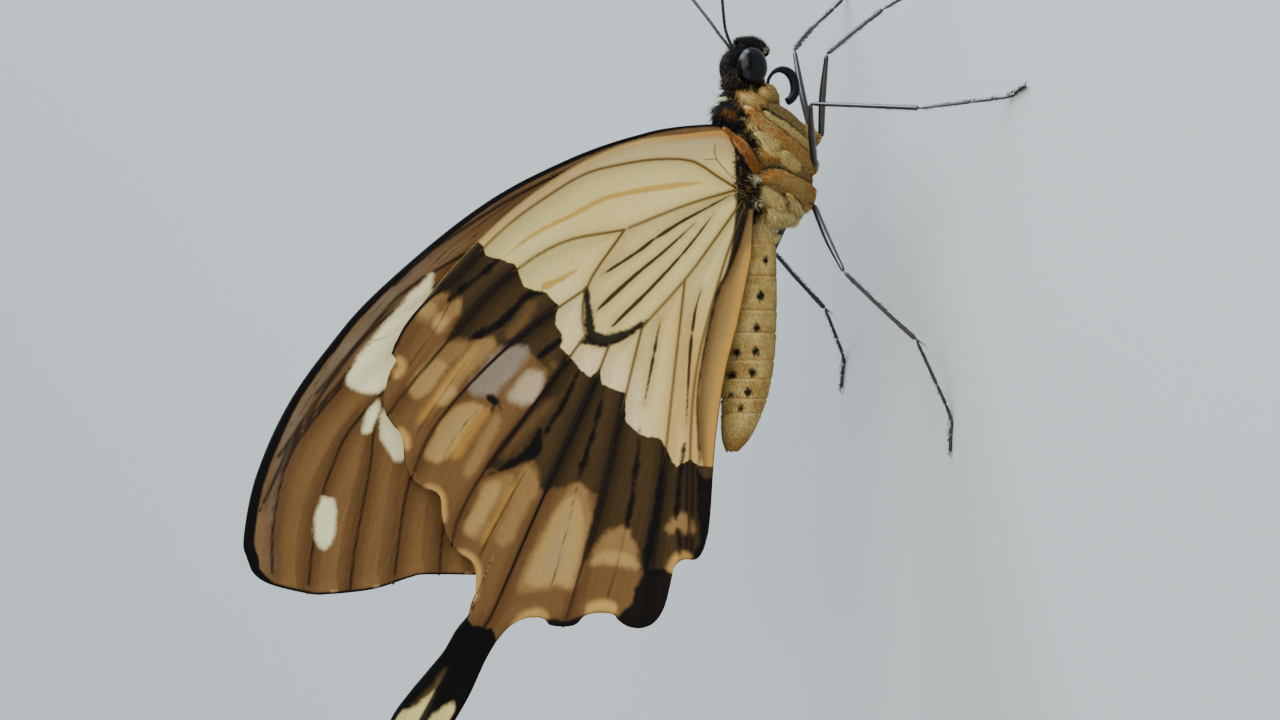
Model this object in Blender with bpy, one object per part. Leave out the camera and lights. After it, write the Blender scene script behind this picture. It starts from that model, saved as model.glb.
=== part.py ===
"""African swallowtail butterfly, a life-size still model standing with its wings closed over its back.

Blender's units are metres with +Z up. Sizes below are millimetres and are turned into metres in one
place, when a mesh is made. The head points to +X, the right side to -Y, and the floor is at Z = 0.
Inside this file lengths along X are counted from the root of the wings, and `CENTRE_X` moves the
finished model so that the origin is on the floor under the middle of its box.
"""
import math

import bmesh
import bpy
import numpy as np
from mathutils import Vector
from mathutils.geometry import delaunay_2d_cdt

MM = 0.001
GAP = 0.3            # air left between pieces that touch
CENTRE_X = 8.1      # moves the wing root forward of the origin

# Body, as stations along X: place, height of the middle, half height, half width
HEAD_STATIONS = ((8.75, 12.6, 1.25, 1.15), (9.3, 12.85, 1.75, 1.55), (10.2, 13.0, 1.85, 1.6),
                 (11.0, 13.0, 1.5, 1.3), (11.5, 12.9, 1.0, 0.85), (11.75, 12.85, 0.5, 0.45))
THORAX_STATIONS = ((8.45, 12.7, 1.5, 1.4), (7.6, 12.55, 2.3, 2.05), (6.4, 11.75, 3.3, 2.6),
                   (4.6, 10.95, 3.85, 2.9), (2.4, 10.75, 3.75, 2.95), (0.4, 10.6, 3.3, 2.75),
                   (-0.9, 10.8, 2.85, 2.35), (-1.7, 11.7, 1.85, 1.75))
ABDOMEN_STATIONS = ((-2.0, 11.95, 1.7, 1.6), (-4.0, 12.2, 1.95, 1.8), (-8.0, 12.3, 2.1, 1.85),
                    (-12.0, 12.45, 2.05, 1.8), (-15.0, 12.8, 1.8, 1.55), (-17.6, 13.4, 1.25, 1.1),
                    (-19.0, 13.85, 0.5, 0.45))
ABDOMEN_SEGMENTS = 9
SEGMENT_GROOVE = 0.045       # share of the radius lost in the groove between two segments

EYE_CENTRE = (10.25, 1.45, 13.05)
EYE_HALF = (1.4, 0.85, 1.15)         # half length, half thickness, half height

ANTENNA_ROOT = (11.55, 0.5, 14.15)
ANTENNA_PATH = ((13.7, 1.5, 15.2), (17.4, 3.9, 16.8), (22.0, 6.5, 18.7), (26.8, 8.6, 20.4))
ANTENNA_RADIUS = 0.25
CLUB_RADIUS = 0.6
CLUB_SHARE = 0.16            # share of the antenna's length that is club
CLUB_END = 0.86              # where along the club's swelling its tip cuts it off

PALP_PATH = ((11.3, 0.75, 11.15), (12.05, 0.7, 11.75), (12.4, 0.6, 12.6), (12.3, 0.5, 13.5))
PALP_RADIUS = (0.36, 0.3)

COIL_CENTRE = (8.75, 9.5)            # X and Z of the rolled proboscis
COIL_RADIUS = (1.05, 0.8)            # centre line at its start and at its end
COIL_TURN = (76.0, -165.0)           # degrees, from the mouth round to the tip
PROBOSCIS_RADIUS = (0.34, 0.25)
COIL_RINGS = 22

# Legs: hip, knee, ankle, then where the foot comes down and its tip. Y is outward from the body
LEGS = {
    "fore_r": ((5.2, 1.5, 7.35), (11.1, 4.0, 7.8), (14.4, 7.0, 4.6), (17.0, 8.2, 0.9), (19.6, 9.0, 0.2)),
    "fore_l": ((5.2, 1.5, 7.35), (11.4, 4.0, 6.9), (13.9, 6.6, 3.6), (16.4, 7.6, 0.7), (18.8, 8.2, 0.2)),
    "mid_r": ((2.5, 1.9, 7.2), (7.2, 6.0, 10.2), (6.6, 14.0, 5.2), (7.3, 18.2, 0.8), (8.0, 20.8, 0.2)),
    "mid_l": ((2.5, 1.9, 7.2), (3.4, 7.2, 9.8), (3.2, 14.0, 5.0), (3.0, 18.2, 0.8), (2.8, 20.8, 0.2)),
    "hind_r": ((-0.2, 1.6, 7.7), (-5.4, 6.6, 7.7), (-10.5, 9.5, 3.1), (-16.0, 9.6, 0.7), (-18.9, 9.4, 0.2)),
    "hind_l": ((-0.2, 1.6, 7.7), (-3.6, 5.4, 7.6), (-8.0, 6.4, 2.6), (-11.6, 7.8, 0.6), (-14.2, 8.4, 0.2)),
}
FEMUR_RADIUS = (0.5, 0.36)
TIBIA_RADIUS = (0.33, 0.28)
TARSUS_RADIUS = (0.28, 0.26)
SOLE_START = 0.5             # share of the way from heel to toe where the sole lies flat
LIMB_SIDES = 8
LIMB_RINGS = 3               # rings between the two domed ends
TARSUS_RINGS = 7

# Wings, in the plane of the wing: toward the tail and up, counted from the wing's root
WING_THICKNESS = 0.5
RIDGE_HEIGHT = 0.12
RIDGE_HALF_WIDTH = 0.42
EDGE_MARGIN = 0.45           # a ridge ends this far inside the outline
VEIN_STEP = 2.2              # points along a ridge
GRID_STEP = 2.6              # points of the membrane between the ridges
GRID_X = (-5.0, 44.0)
GRID_Z = (-1.0, 40.0)
GRID_CLEAR = 1.1             # least distance from such a point to a ridge
CLOSE_POINTS = 0.28          # points nearer than this are made one
OUTLINE_CLOSE = 0.25
FORE_ROOT = (2.6, 14.1)      # X and Z
HIND_ROOT = (0.4, 14.25)
FORE_SIDE = (1.2, 0.45)      # distance from the middle plane at the root and at the margin
HIND_SIDE = (2.4, 1.42)
SIDE_FALL = 9.0              # height over which the wings lean in toward each other
TAIL_SIDE = 0.45             # past the forewings the tails lie closer together
TAIL_LEAN = (31.0, 35.0)     # where along the wing they draw together

FORE_COSTA = ((-2.6, 1.9), (-3.0, 3.4), (-2.2, 8.1), (0.2, 14.8), (5.2, 23.4), (11.6, 30.1), (17.5, 34.5),
              (23.5, 37.5), (27.3, 38.4), (29.6, 38.0))
FORE_MARGIN = ((30.8, 36.7), (31.5, 33.3), (31.5, 29.7), (30.7, 26.3), (30.3, 22.7), (30.6, 18.2),
               (30.3, 14.3), (29.4, 12.1))
FORE_INNER = ((26.0, 10.4), (18.0, 7.3), (9.0, 4.1), (3.4, 1.9))
FORE_VEINS = {
    "radius": ((-0.9, 1.6), (3.2, 10.4), (8.2, 18.9), (11.6, 23.5)),
    "R1": ((3.2, 10.4), (7.5, 21.0), (12.9, 30.0)),
    "R3": ((9.6, 20.9), (13.3, 27.5), (19.4, 33.5), (27.2, 37.3)),
    "R5": ((11.6, 23.5), (14.0, 28.1), (18.8, 32.7), (24.5, 35.8), (30.4, 36.6)),
    "M1": ((12.2, 23.3), (16.2, 27.9), (20.6, 30.8), (26.5, 33.3), (31.2, 33.9)),
    "M2": ((13.2, 22.3), (18.4, 27.7), (23.2, 29.5), (31.2, 30.7)),
    "M3": ((14.2, 19.9), (19.0, 24.3), (24.7, 26.7), (30.8, 27.4)),
    "Cu1": ((12.9, 18.1), (19.0, 21.3), (25.0, 23.1), (30.2, 23.7)),
    "Cu2": ((9.6, 14.2), (17.0, 17.4), (24.0, 19.1), (30.3, 19.7)),
    "2A": ((-0.2, 1.6), (7.5, 6.9), (18.0, 12.1), (29.9, 14.9)),
    "cubitus": ((-0.4, 1.6), (5.0, 8.2), (9.6, 14.2), (14.2, 19.9)),
    "cell end": ((11.6, 23.5), (13.2, 22.3), (14.2, 19.9)),
}

HIND_COSTA = ((-4.1, 1.1), (-5.0, 3.2), (-4.7, 5.8), (-4.1, 8.6), (-1.8, 15.0), (1.2, 19.2), (4.7, 23.4),
              (9.1, 26.9), (11.9, 27.9))
# Vein ends along the outer margin, each followed by the depth of the scallop after it
HIND_SCALLOPS = (((11.9, 27.9), -0.9), ((16.3, 28.2), 0.2), ((21.1, 26.4), 0.45), ((26.1, 23.3), 0.75),
                 ((30.4, 21.7), 0.0))
TAIL_LEFT = ((33.0, 22.8), (36.0, 25.5), (38.7, 27.8))
TAIL_TIP = ((41.6, 28.8), (43.4, 27.6), (42.9, 25.4))
TAIL_RIGHT = ((39.9, 23.4), (36.3, 21.1), (33.6, 19.5))
HIND_SCALLOPS_2 = (((32.7, 18.6), 1.1), ((32.2, 14.2), 0.9), ((32.2, 9.4), -1.1), ((28.3, 5.5), -0.5),
                   ((25.0, 2.6), 0.0))
HIND_INNER = ((23.6, 2.4), (18.4, 2.2), (13.4, 1.5), (9.4, 0.4), (5.0, -0.4))
HIND_VEINS = {
    "Sc": ((-1.0, 1.5), (-2.5, 3.9), (-2.6, 8.1), (-0.6, 13.9), (3.8, 20.8), (11.0, 27.5)),
    "cell front": ((-0.4, 1.3), (0.8, 4.5), (2.7, 9.4)),
    "Rs": ((2.7, 9.4), (3.8, 14.6), (7.4, 20.5), (13.0, 26.1), (16.1, 27.8)),
    "M1": ((7.1, 12.4), (10.5, 17.6), (15.2, 22.9), (20.7, 26.1)),
    "M2": ((10.6, 12.5), (16.4, 17.2), (21.4, 20.9), (25.8, 23.0)),
    "M3": ((11.3, 10.6), (14.7, 12.1), (22.5, 15.9), (30.2, 19.9), (35.6, 23.0), (41.0, 26.4)),
    "CuA1": ((10.0, 8.0), (16.8, 9.6), (24.0, 11.5), (31.7, 14.0)),
    "CuA2": ((6.4, 4.6), (14.7, 5.7), (22.5, 6.7), (31.8, 7.9)),
    "2A": ((0.8, 0.5), (6.6, 1.9), (14.7, 3.9), (26.9, 4.2)),
    "cubitus": ((0.3, 1.0), (3.9, 2.6), (6.4, 4.6), (10.0, 8.0)),
    "cell end": ((2.7, 9.4), (7.1, 12.4), (10.6, 12.5), (11.3, 10.6), (10.0, 8.0)),
}

COLOURS = {
    "head": (0.030, 0.025, 0.022),
    "thorax": (0.20, 0.115, 0.035),
    "abdomen": (0.50, 0.36, 0.16),
    "eye": (0.012, 0.010, 0.012),
    "antenna": (0.020, 0.016, 0.014),
    "palp": (0.42, 0.35, 0.22),
    "proboscis": (0.018, 0.010, 0.040),
    "forewing": (0.23, 0.145, 0.06),
    "hindwing": (0.56, 0.50, 0.32),
    "leg": (0.035, 0.026, 0.020),
}
ROUGHNESS = {"eye": 0.2, "proboscis": 0.3, "antenna": 0.45, "leg": 0.4}
FUR_ROUGHNESS = 0.8


def clear_scene():
    """Start from an empty file."""
    for item in list(bpy.data.objects):
        bpy.data.objects.remove(item, do_unlink=True)


def material(kind):
    """One Principled material for each kind of sub-part."""
    found = bpy.data.materials.get(kind)
    if found:
        return found
    made = bpy.data.materials.new(kind)
    made.use_nodes = True
    shader = made.node_tree.nodes["Principled BSDF"]
    shader.inputs["Base Color"].default_value = (*COLOURS[kind], 1.0)
    shader.inputs["Roughness"].default_value = ROUGHNESS.get(kind, FUR_ROUGHNESS)
    shader.inputs["Metallic"].default_value = 0.0
    return made


def add_solid(name, kind, points, faces):
    """Make one object from points in millimetres, with its faces turned outward."""
    mesh = bpy.data.meshes.new(name)
    shifted = (np.asarray(points, dtype=float) + (CENTRE_X, 0.0, 0.0)) * MM
    mesh.from_pydata(shifted.tolist(), [], [list(map(int, face)) for face in faces])
    surface = bmesh.new()
    surface.from_mesh(mesh)
    bmesh.ops.recalc_face_normals(surface, faces=surface.faces)
    if surface.calc_volume(signed=True) < 0.0:
        bmesh.ops.reverse_faces(surface, faces=surface.faces)
    surface.to_mesh(mesh)
    surface.free()
    mesh.shade_smooth()
    mesh.set_sharp_from_angle(angle=math.radians(40.0))
    item = bpy.data.objects.new(name, mesh)
    item.data.materials.append(material(kind))
    bpy.context.scene.collection.objects.link(item)
    return item


def smooth_line(points, count):
    """Count points spread evenly along a Catmull-Rom curve through the given points."""
    knots = np.asarray(points, dtype=float)
    padded = np.vstack((2 * knots[0] - knots[1], knots, 2 * knots[-1] - knots[-2]))
    fine = []
    for start in range(len(knots) - 1):
        p0, p1, p2, p3 = padded[start:start + 4]
        for share in np.linspace(0.0, 1.0, 24, endpoint=False):
            fine.append(0.5 * (2 * p1 + (p2 - p0) * share + (2 * p0 - 5 * p1 + 4 * p2 - p3) * share ** 2
                               + (3 * p1 - p0 - 3 * p2 + p3) * share ** 3))
    fine = np.vstack((fine, knots[-1]))
    along = np.concatenate(([0.0], np.cumsum(np.linalg.norm(np.diff(fine, axis=0), axis=1))))
    places = np.linspace(0.0, along[-1], count)
    return np.column_stack([np.interp(places, along, fine[:, axis]) for axis in range(fine.shape[1])])


def spaced_line(points, spacing):
    """The same curve with a point about every spacing."""
    rough = np.asarray(points, dtype=float)
    length = np.linalg.norm(np.diff(rough, axis=0), axis=1).sum()
    return smooth_line(points, max(2, int(round(length / spacing)) + 1))


def rings_to_solid(name, kind, rings):
    """Join equal rings of points into one closed body, each end filled by one face."""
    rings = np.asarray(rings)
    count, sides = rings.shape[:2]
    faces = []
    for row in range(count - 1):
        for side in range(sides):
            after = (side + 1) % sides
            faces.append((row * sides + side, row * sides + after,
                          (row + 1) * sides + after, (row + 1) * sides + side))
    faces.append(range(sides))
    faces.append(range((count - 1) * sides, count * sides))
    return add_solid(name, kind, rings.reshape(-1, 3), faces)


def section_at(stations, x):
    """Middle height, half height and half width of the body at a place along X."""
    table = np.array(sorted(stations))
    line = smooth_line(table, 200)
    return [np.interp(x, line[:, 0], line[:, axis]) for axis in (1, 2, 3)]


def body_solid(name, stations, sides, rows, pulse=None):
    """An oval body carried along X. Pulse scales each ring, for segments."""
    line = smooth_line(stations, rows)
    turns = np.linspace(0.0, 2 * math.pi, sides, endpoint=False)
    rings = []
    for row, (x, middle, half_height, half_width) in enumerate(line):
        scale = 1.0 if pulse is None else pulse(row / (rows - 1))
        ring = np.column_stack((np.full(sides, x), half_width * scale * np.cos(turns),
                                middle + half_height * scale * np.sin(turns)))
        rings.append(ring)
    return rings_to_solid(name, name, rings)


def top_of(stations, x, y):
    """Height of the body's upper surface above a point."""
    middle, half_height, half_width = section_at(stations, x)
    return middle + half_height * np.sqrt(np.clip(1.0 - (y / half_width) ** 2, 0.02, 1.0))


def tube(name, kind, path, radii, sides, floor=False):
    """A round tube along a path with a dome at each end, or a flat sole where it meets the floor."""
    path = np.asarray(path, dtype=float)
    along = np.concatenate(([0.0], np.cumsum(np.linalg.norm(np.diff(path, axis=0), axis=1))))
    length = along[-1]
    heading = np.gradient(path, axis=0)
    heading /= np.linalg.norm(heading, axis=1)[:, None]
    across = np.cross(heading, (0.0, 0.0, 1.0))
    across /= np.linalg.norm(across, axis=1)[:, None]
    up = np.cross(across, heading)
    turns = np.linspace(0.0, 2 * math.pi, sides, endpoint=False) + math.pi / sides
    rings = []
    for row, place in enumerate(along):
        radius = radii[row]
        for reach in (place, length - place):
            if reach < radii[row]:
                radius = min(radius, math.sqrt(max(radii[row] ** 2 - (radii[row] - reach) ** 2,
                                                   (0.35 * radii[row]) ** 2)))
        ring = path[row] + radius * (np.cos(turns)[:, None] * across[row] + np.sin(turns)[:, None] * up[row])
        rings.append(ring)
    rings = np.array(rings)
    if floor:
        rings[:, :, 2] = np.maximum(rings[:, :, 2], 0.0)
    return rings_to_solid(name, kind, rings)


def domed_places(length, radius, inner):
    """Places along a tube: three rings for each dome and some between."""
    start = [0.0, 0.3 * radius, radius]
    middle = list(np.linspace(radius, length - radius, inner + 2)[1:-1])
    return np.array(start + middle + [length - radius, length - 0.3 * radius, length])


def resample(path, places):
    """Points of a fine path at given distances along it."""
    along = np.concatenate(([0.0], np.cumsum(np.linalg.norm(np.diff(path, axis=0), axis=1))))
    return np.column_stack([np.interp(places, along, path[:, axis]) for axis in range(3)])


def trimmed(path, start_cut, end_cut):
    """A fine path with a length taken off each end."""
    length = np.linalg.norm(np.diff(path, axis=0), axis=1).sum()
    return resample(path, np.linspace(start_cut, length - end_cut, len(path)))


def limb(name, kind, path, radius, start_cut, end_cut, sides, inner, floor=False):
    """A tapering tube with domed ends, cut back from the joints it meets."""
    fine = trimmed(smooth_line(path, 120), start_cut, end_cut)
    length = np.linalg.norm(np.diff(fine, axis=0), axis=1).sum()
    places = domed_places(length, max(radius), inner)
    radii = np.interp(places, (0.0, length), radius)
    return tube(name, kind, resample(fine, places), radii, sides, floor)


def joint_cut(before, at, after, radius):
    """Length to take off each limb at a joint so that their round ends keep the gap at any bend."""
    one = Vector(before) - Vector(at)
    other = Vector(after) - Vector(at)
    half = one.angle(other) / 2
    return (radius + GAP / 2) / math.sin(half) - radius


def make_body():
    """Head, thorax and abdomen, the abdomen with its segments."""
    body_solid("thorax", THORAX_STATIONS, 20, 17)

    def segments(share):
        phase = share * ABDOMEN_SEGMENTS
        return 1.0 - SEGMENT_GROOVE * math.exp(-((phase - round(phase)) / 0.18) ** 2)

    body_solid("abdomen", ABDOMEN_STATIONS, 16, 3 * ABDOMEN_SEGMENTS + 1, segments)
    return body_solid("head", HEAD_STATIONS, 18, 12)


def ellipsoid(name, kind, centre, half, sides, rows):
    """A closed ellipsoid with its poles along Y."""
    rings = []
    for angle in np.linspace(0.0, math.pi, rows + 2)[1:-1]:
        turns = np.linspace(0.0, 2 * math.pi, sides, endpoint=False)
        rings.append(np.column_stack((centre[0] + half[0] * math.sin(angle) * np.cos(turns),
                                      np.full(sides, centre[1] + half[1] * math.cos(angle)),
                                      centre[2] + half[2] * math.sin(angle) * np.sin(turns))))
    return rings_to_solid(name, kind, rings)


def make_eyes(head):
    """Two bulging eyes, each in a socket cut into the head with a gap all round."""
    for side, name in ((1, "eye_l"), (-1, "eye_r")):
        centre = (EYE_CENTRE[0], side * EYE_CENTRE[1], EYE_CENTRE[2])
        ellipsoid(name, "eye", centre, EYE_HALF, 18, 9)
        cutter = ellipsoid(name + "_socket", "eye", centre, tuple(half + GAP for half in EYE_HALF), 18, 9)
        cut = head.modifiers.new(name, "BOOLEAN")
        cut.operation = "DIFFERENCE"
        cut.object = cutter
        cut.solver = "EXACT"
        cutter.hide_render = True
        cutter.display_type = "WIRE"


def make_feelers():
    """Antennae with clubs, palps up the face and the rolled proboscis."""
    def club(share):
        grown = np.clip((share - 1.0 + CLUB_SHARE) / CLUB_SHARE, 0.0, 1.0)
        return 1.0 + (CLUB_RADIUS / ANTENNA_RADIUS - 1.0) * math.sin(math.pi * min(grown, CLUB_END)) ** 1.5

    for side, name in ((1, "l"), (-1, "r")):
        turned = np.array((1.0, side, 1.0))
        path = [np.array(point) * turned for point in (ANTENNA_ROOT,) + ANTENNA_PATH]
        fine = smooth_line(path, 200)
        shares = np.concatenate((np.linspace(0.0, 0.8, 9), np.linspace(0.84, 1.0, 7)))
        length = np.linalg.norm(np.diff(fine, axis=0), axis=1).sum()
        radii = [ANTENNA_RADIUS * club(share) for share in shares]
        tube("antenna_" + name, "antenna", resample(fine, shares * length), radii, LIMB_SIDES)
        palp = [np.array(point) * turned for point in PALP_PATH]
        limb("palp_" + name, "palp", palp, PALP_RADIUS, 0.0, 0.0, LIMB_SIDES, LIMB_RINGS)
    turns = np.radians(np.linspace(*COIL_TURN, COIL_RINGS))
    reach = np.linspace(*COIL_RADIUS, COIL_RINGS)
    path = np.column_stack((COIL_CENTRE[0] + reach * np.cos(turns), np.zeros(COIL_RINGS),
                            COIL_CENTRE[1] + reach * np.sin(turns)))
    coil_tube("proboscis", path, np.linspace(*PROBOSCIS_RADIUS, COIL_RINGS), LIMB_SIDES)


def coil_tube(name, path, radii, sides):
    """A tube along a path in the middle plane, its rings turned about Y."""
    heading = np.gradient(path, axis=0)
    heading /= np.linalg.norm(heading, axis=1)[:, None]
    across = np.cross(heading, (0.0, 1.0, 0.0))
    turns = np.linspace(0.0, 2 * math.pi, sides, endpoint=False)
    rings = [path[row] + radii[row] * (np.cos(turns)[:, None] * across[row]
                                       + np.sin(turns)[:, None] * np.array((0.0, 1.0, 0.0)))
             for row in range(len(path))]
    rings_to_solid(name, "proboscis", rings)


def make_legs():
    """Six legs, each a femur with its coxa, a tibia and a tarsus whose sole lies on the floor."""
    for name, points in LEGS.items():
        side = 1.0 if name.endswith("_l") else -1.0
        hip, knee, ankle, heel, toe = [np.array(point) * (1.0, side, 1.0) for point in points]
        knee_cut = joint_cut(hip, knee, ankle, FEMUR_RADIUS[1])
        ankle_cut = joint_cut(knee, ankle, heel, TIBIA_RADIUS[1])
        limb("femur_" + name, "leg", (hip, knee), FEMUR_RADIUS, 0.0, knee_cut, LIMB_SIDES, LIMB_RINGS)
        limb("tibia_" + name, "leg", (knee, ankle), TIBIA_RADIUS, knee_cut, ankle_cut,
             LIMB_SIDES, LIMB_RINGS)
        ball = heel + (toe - heel) * SOLE_START
        ball[2] = toe[2]
        limb("tarsus_" + name, "leg", (ankle, heel, ball, toe), TARSUS_RADIUS, ankle_cut, 0.0,
             LIMB_SIDES, TARSUS_RINGS, True)


def distance_to(points, line):
    """Shortest distance in the plane from each point to a line of short straight runs."""
    starts, ends = line[:-1], line[1:]
    run = ends - starts
    share = np.einsum("pij,ij->pi", points[:, None] - starts, run) / np.maximum((run ** 2).sum(1), 1e-9)
    nearest = starts + np.clip(share, 0.0, 1.0)[:, :, None] * run
    return np.linalg.norm(points[:, None] - nearest, axis=2).min(1)


def inside(points, outline):
    """Which points lie inside a closed outline."""
    after = np.roll(outline, -1, axis=0)
    result = np.zeros(len(points), dtype=bool)
    for one, two in zip(outline, after):
        crosses = (one[1] > points[:, 1]) != (two[1] > points[:, 1])
        with np.errstate(divide="ignore", invalid="ignore"):
            meets = (two[0] - one[0]) * (points[:, 1] - one[1]) / (two[1] - one[1]) + one[0]
        result ^= crosses & (points[:, 0] < meets)
    return result


def scalloped(pairs, count):
    """A margin from vein end to vein end, hollowed between them by each pair's depth."""
    line = []
    for (start, depth), (end, _) in zip(pairs[:-1], pairs[1:]):
        start, end = np.array(start), np.array(end)
        run = end - start
        inward = np.array((-run[1], run[0])) / np.linalg.norm(run)
        inward *= math.copysign(1.0, float(inward @ -(start + end)))
        for share in np.linspace(0.0, 1.0, count, endpoint=False):
            line.append(start + run * share + inward * depth * math.sin(math.pi * share))
    line.append(np.array(pairs[-1][0]))
    return np.array(line)


def wing_side(along, up, side):
    """Distance of a wing's middle surface from the plane between the wings."""
    root, margin = side
    lean = np.exp(-(np.clip(up, 0.0, None) / SIDE_FALL) ** 2)
    drawn = np.clip((along - TAIL_LEAN[0]) / (TAIL_LEAN[1] - TAIL_LEAN[0]), 0.0, 1.0)
    drawn = drawn ** 2 * (3.0 - 2.0 * drawn)
    open_side = margin + (root - margin) * lean
    return open_side + (TAIL_SIDE - open_side) * drawn


def root_line(wing_root, side, first, last, count):
    """The wing's edge along the body: clear of the thorax and abdomen by the gap."""
    line = []
    for along in np.linspace(first, last, count):
        x = wing_root[0] - along
        inner_face = side[0] - WING_THICKNESS / 2
        stations = THORAX_STATIONS if x > THORAX_STATIONS[-1][0] else ABDOMEN_STATIONS
        height = top_of(stations, x, inner_face) + GAP
        line.append((along, height - wing_root[1]))
    return np.array(line)


def join_lines(*lines):
    """Lines end to end as one closed outline, with points that nearly repeat left out."""
    kept = []
    for point in np.vstack(lines):
        if not kept or np.linalg.norm(point - kept[-1]) > OUTLINE_CLOSE:
            kept.append(point)
    if np.linalg.norm(kept[0] - kept[-1]) < OUTLINE_CLOSE:
        kept.pop()
    return np.array(kept)


def make_wing(name, kind, outline, veins, wing_root, side):
    """Both wings of a pair: one sheet whose veins stand up as ridges on its outer face."""
    closed = np.vstack((outline, outline[:1]))
    centre_lines = []
    for vein in veins.values():
        line = spaced_line(vein, VEIN_STEP)
        keep = inside(line, outline) & (distance_to(line, closed) > EDGE_MARGIN)
        centre_lines.append(line[keep])
    points = [tuple(point) for point in outline]
    edges = []
    for line in centre_lines:
        first = len(points)
        points += [tuple(point) for point in line]
        edges += [(first + step, first + step + 1) for step in range(len(line) - 1)]
    beside = []
    for line in centre_lines:
        heading = np.gradient(line, axis=0)
        heading /= np.linalg.norm(heading, axis=1)[:, None]
        normal = np.column_stack((-heading[:, 1], heading[:, 0]))
        beside += [line + RIDGE_HALF_WIDTH * normal, line - RIDGE_HALF_WIDTH * normal]
    beside = np.vstack(beside)
    columns, rows = np.arange(*GRID_X, GRID_STEP), np.arange(*GRID_Z, GRID_STEP)
    grid = np.stack(np.meshgrid(columns, rows), -1).reshape(-1, 2)
    off_veins = np.min([distance_to(grid, line) for line in centre_lines], axis=0) > GRID_CLEAR
    spare = np.vstack((beside, grid[off_veins]))
    spare = spare[inside(spare, outline) & (distance_to(spare, closed) > CLOSE_POINTS)]
    taken = np.array(points)
    for point in spare:
        if np.min(np.linalg.norm(taken - point, axis=1)) > CLOSE_POINTS:
            taken = np.vstack((taken, point))
    flat, _, faces, _, _, _ = delaunay_2d_cdt([Vector(point) for point in taken], edges,
                                              [list(range(len(outline)))], 1, 1e-5)
    flat = np.array([tuple(point) for point in flat])
    faces = [list(face) for face in faces]
    off_ridge = np.min([distance_to(flat, line) for line in centre_lines], axis=0)
    ridge = RIDGE_HEIGHT * np.clip(1.0 - off_ridge / (0.9 * RIDGE_HALF_WIDTH), 0.0, 1.0)
    middle = wing_side(flat[:, 0], flat[:, 1], side)
    for hand, suffix in ((1.0, "_l"), (-1.0, "_r")):
        def face_at(depth):
            return np.column_stack((wing_root[0] - flat[:, 0], hand * depth, wing_root[1] + flat[:, 1]))

        outer = face_at(middle + WING_THICKNESS / 2 + ridge)
        inner = face_at(middle - WING_THICKNESS / 2)
        count = len(flat)
        both = faces + [[corner + count for corner in reversed(face)] for face in faces]
        used = {(one, two) for face in faces for one, two in zip(face, face[1:] + face[:1])}
        rim = [(one, two) for one, two in sorted(used) if (two, one) not in used]
        both += [(two, one, one + count, two + count) for one, two in rim]
        add_solid(name + suffix, kind, np.vstack((outer, inner)), both)


def make_wings():
    """Forewings inside, hindwings outside and over them."""
    fore_base = root_line(FORE_ROOT, FORE_SIDE, 2.2, -2.3, 6)
    fore = join_lines(fore_base, spaced_line(FORE_COSTA, 1.6), spaced_line(FORE_MARGIN, 1.4),
                      spaced_line(FORE_INNER, 2.4))
    make_wing("forewing", "forewing", fore, FORE_VEINS, FORE_ROOT, FORE_SIDE)
    hind_base = root_line(HIND_ROOT, HIND_SIDE, 2.2, -4.0, 7)
    hind = join_lines(hind_base, spaced_line(HIND_COSTA, 1.4), scalloped(HIND_SCALLOPS, 5),
                      spaced_line(TAIL_LEFT + TAIL_TIP + TAIL_RIGHT, 1.3), scalloped(HIND_SCALLOPS_2, 6),
                      spaced_line(HIND_INNER, 2.0))
    make_wing("hindwing", "hindwing", hind, HIND_VEINS, HIND_ROOT, HIND_SIDE)


def main():
    clear_scene()
    head = make_body()
    make_eyes(head)
    make_feelers()
    make_legs()
    make_wings()


main()
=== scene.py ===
"""The finished look of a life-size African swallowtail standing with its wings closed.

Shapes are worked out in millimetres and become metres where a mesh is made. As in the solids, lengths
along X are counted from the root of the wings, and CENTRE_X moves the whole animal. The head points to
+X, the right side to -Y and the floor is at Z = 0. On a wing, `along` runs toward the tail and `up`
away from the body, both from that wing's own root.
"""
import math

import bpy
import numpy as np
from bpy.props import FloatProperty, FloatVectorProperty, IntProperty, PointerProperty
from bpy.types import Operator, Panel, PropertyGroup
from mathutils import Matrix, Vector


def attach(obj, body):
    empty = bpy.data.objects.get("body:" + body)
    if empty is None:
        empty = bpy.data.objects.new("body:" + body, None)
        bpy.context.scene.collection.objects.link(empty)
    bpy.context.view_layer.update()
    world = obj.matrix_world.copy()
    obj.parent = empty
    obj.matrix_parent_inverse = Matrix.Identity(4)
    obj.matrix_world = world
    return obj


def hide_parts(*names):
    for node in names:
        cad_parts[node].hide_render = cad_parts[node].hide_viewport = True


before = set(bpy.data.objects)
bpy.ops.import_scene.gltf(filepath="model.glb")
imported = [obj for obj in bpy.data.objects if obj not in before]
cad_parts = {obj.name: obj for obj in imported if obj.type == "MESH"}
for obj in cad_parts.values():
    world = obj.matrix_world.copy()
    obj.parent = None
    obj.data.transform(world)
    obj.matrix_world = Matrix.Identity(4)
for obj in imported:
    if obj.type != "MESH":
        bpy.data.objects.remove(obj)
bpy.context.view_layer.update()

bl_info = {
    "name": "African Swallowtail",
    "version": (1, 0, 0),
    "blender": (4, 5, 0),
    "location": "3D View > Sidebar > Swallowtail",
    "description": "Builds a swallowtail butterfly with scaled wings, fur and jointed legs",
    "category": "Add Mesh",
}

MM = 0.001
CENTRE_X = 8.1
SEED = 20

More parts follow.
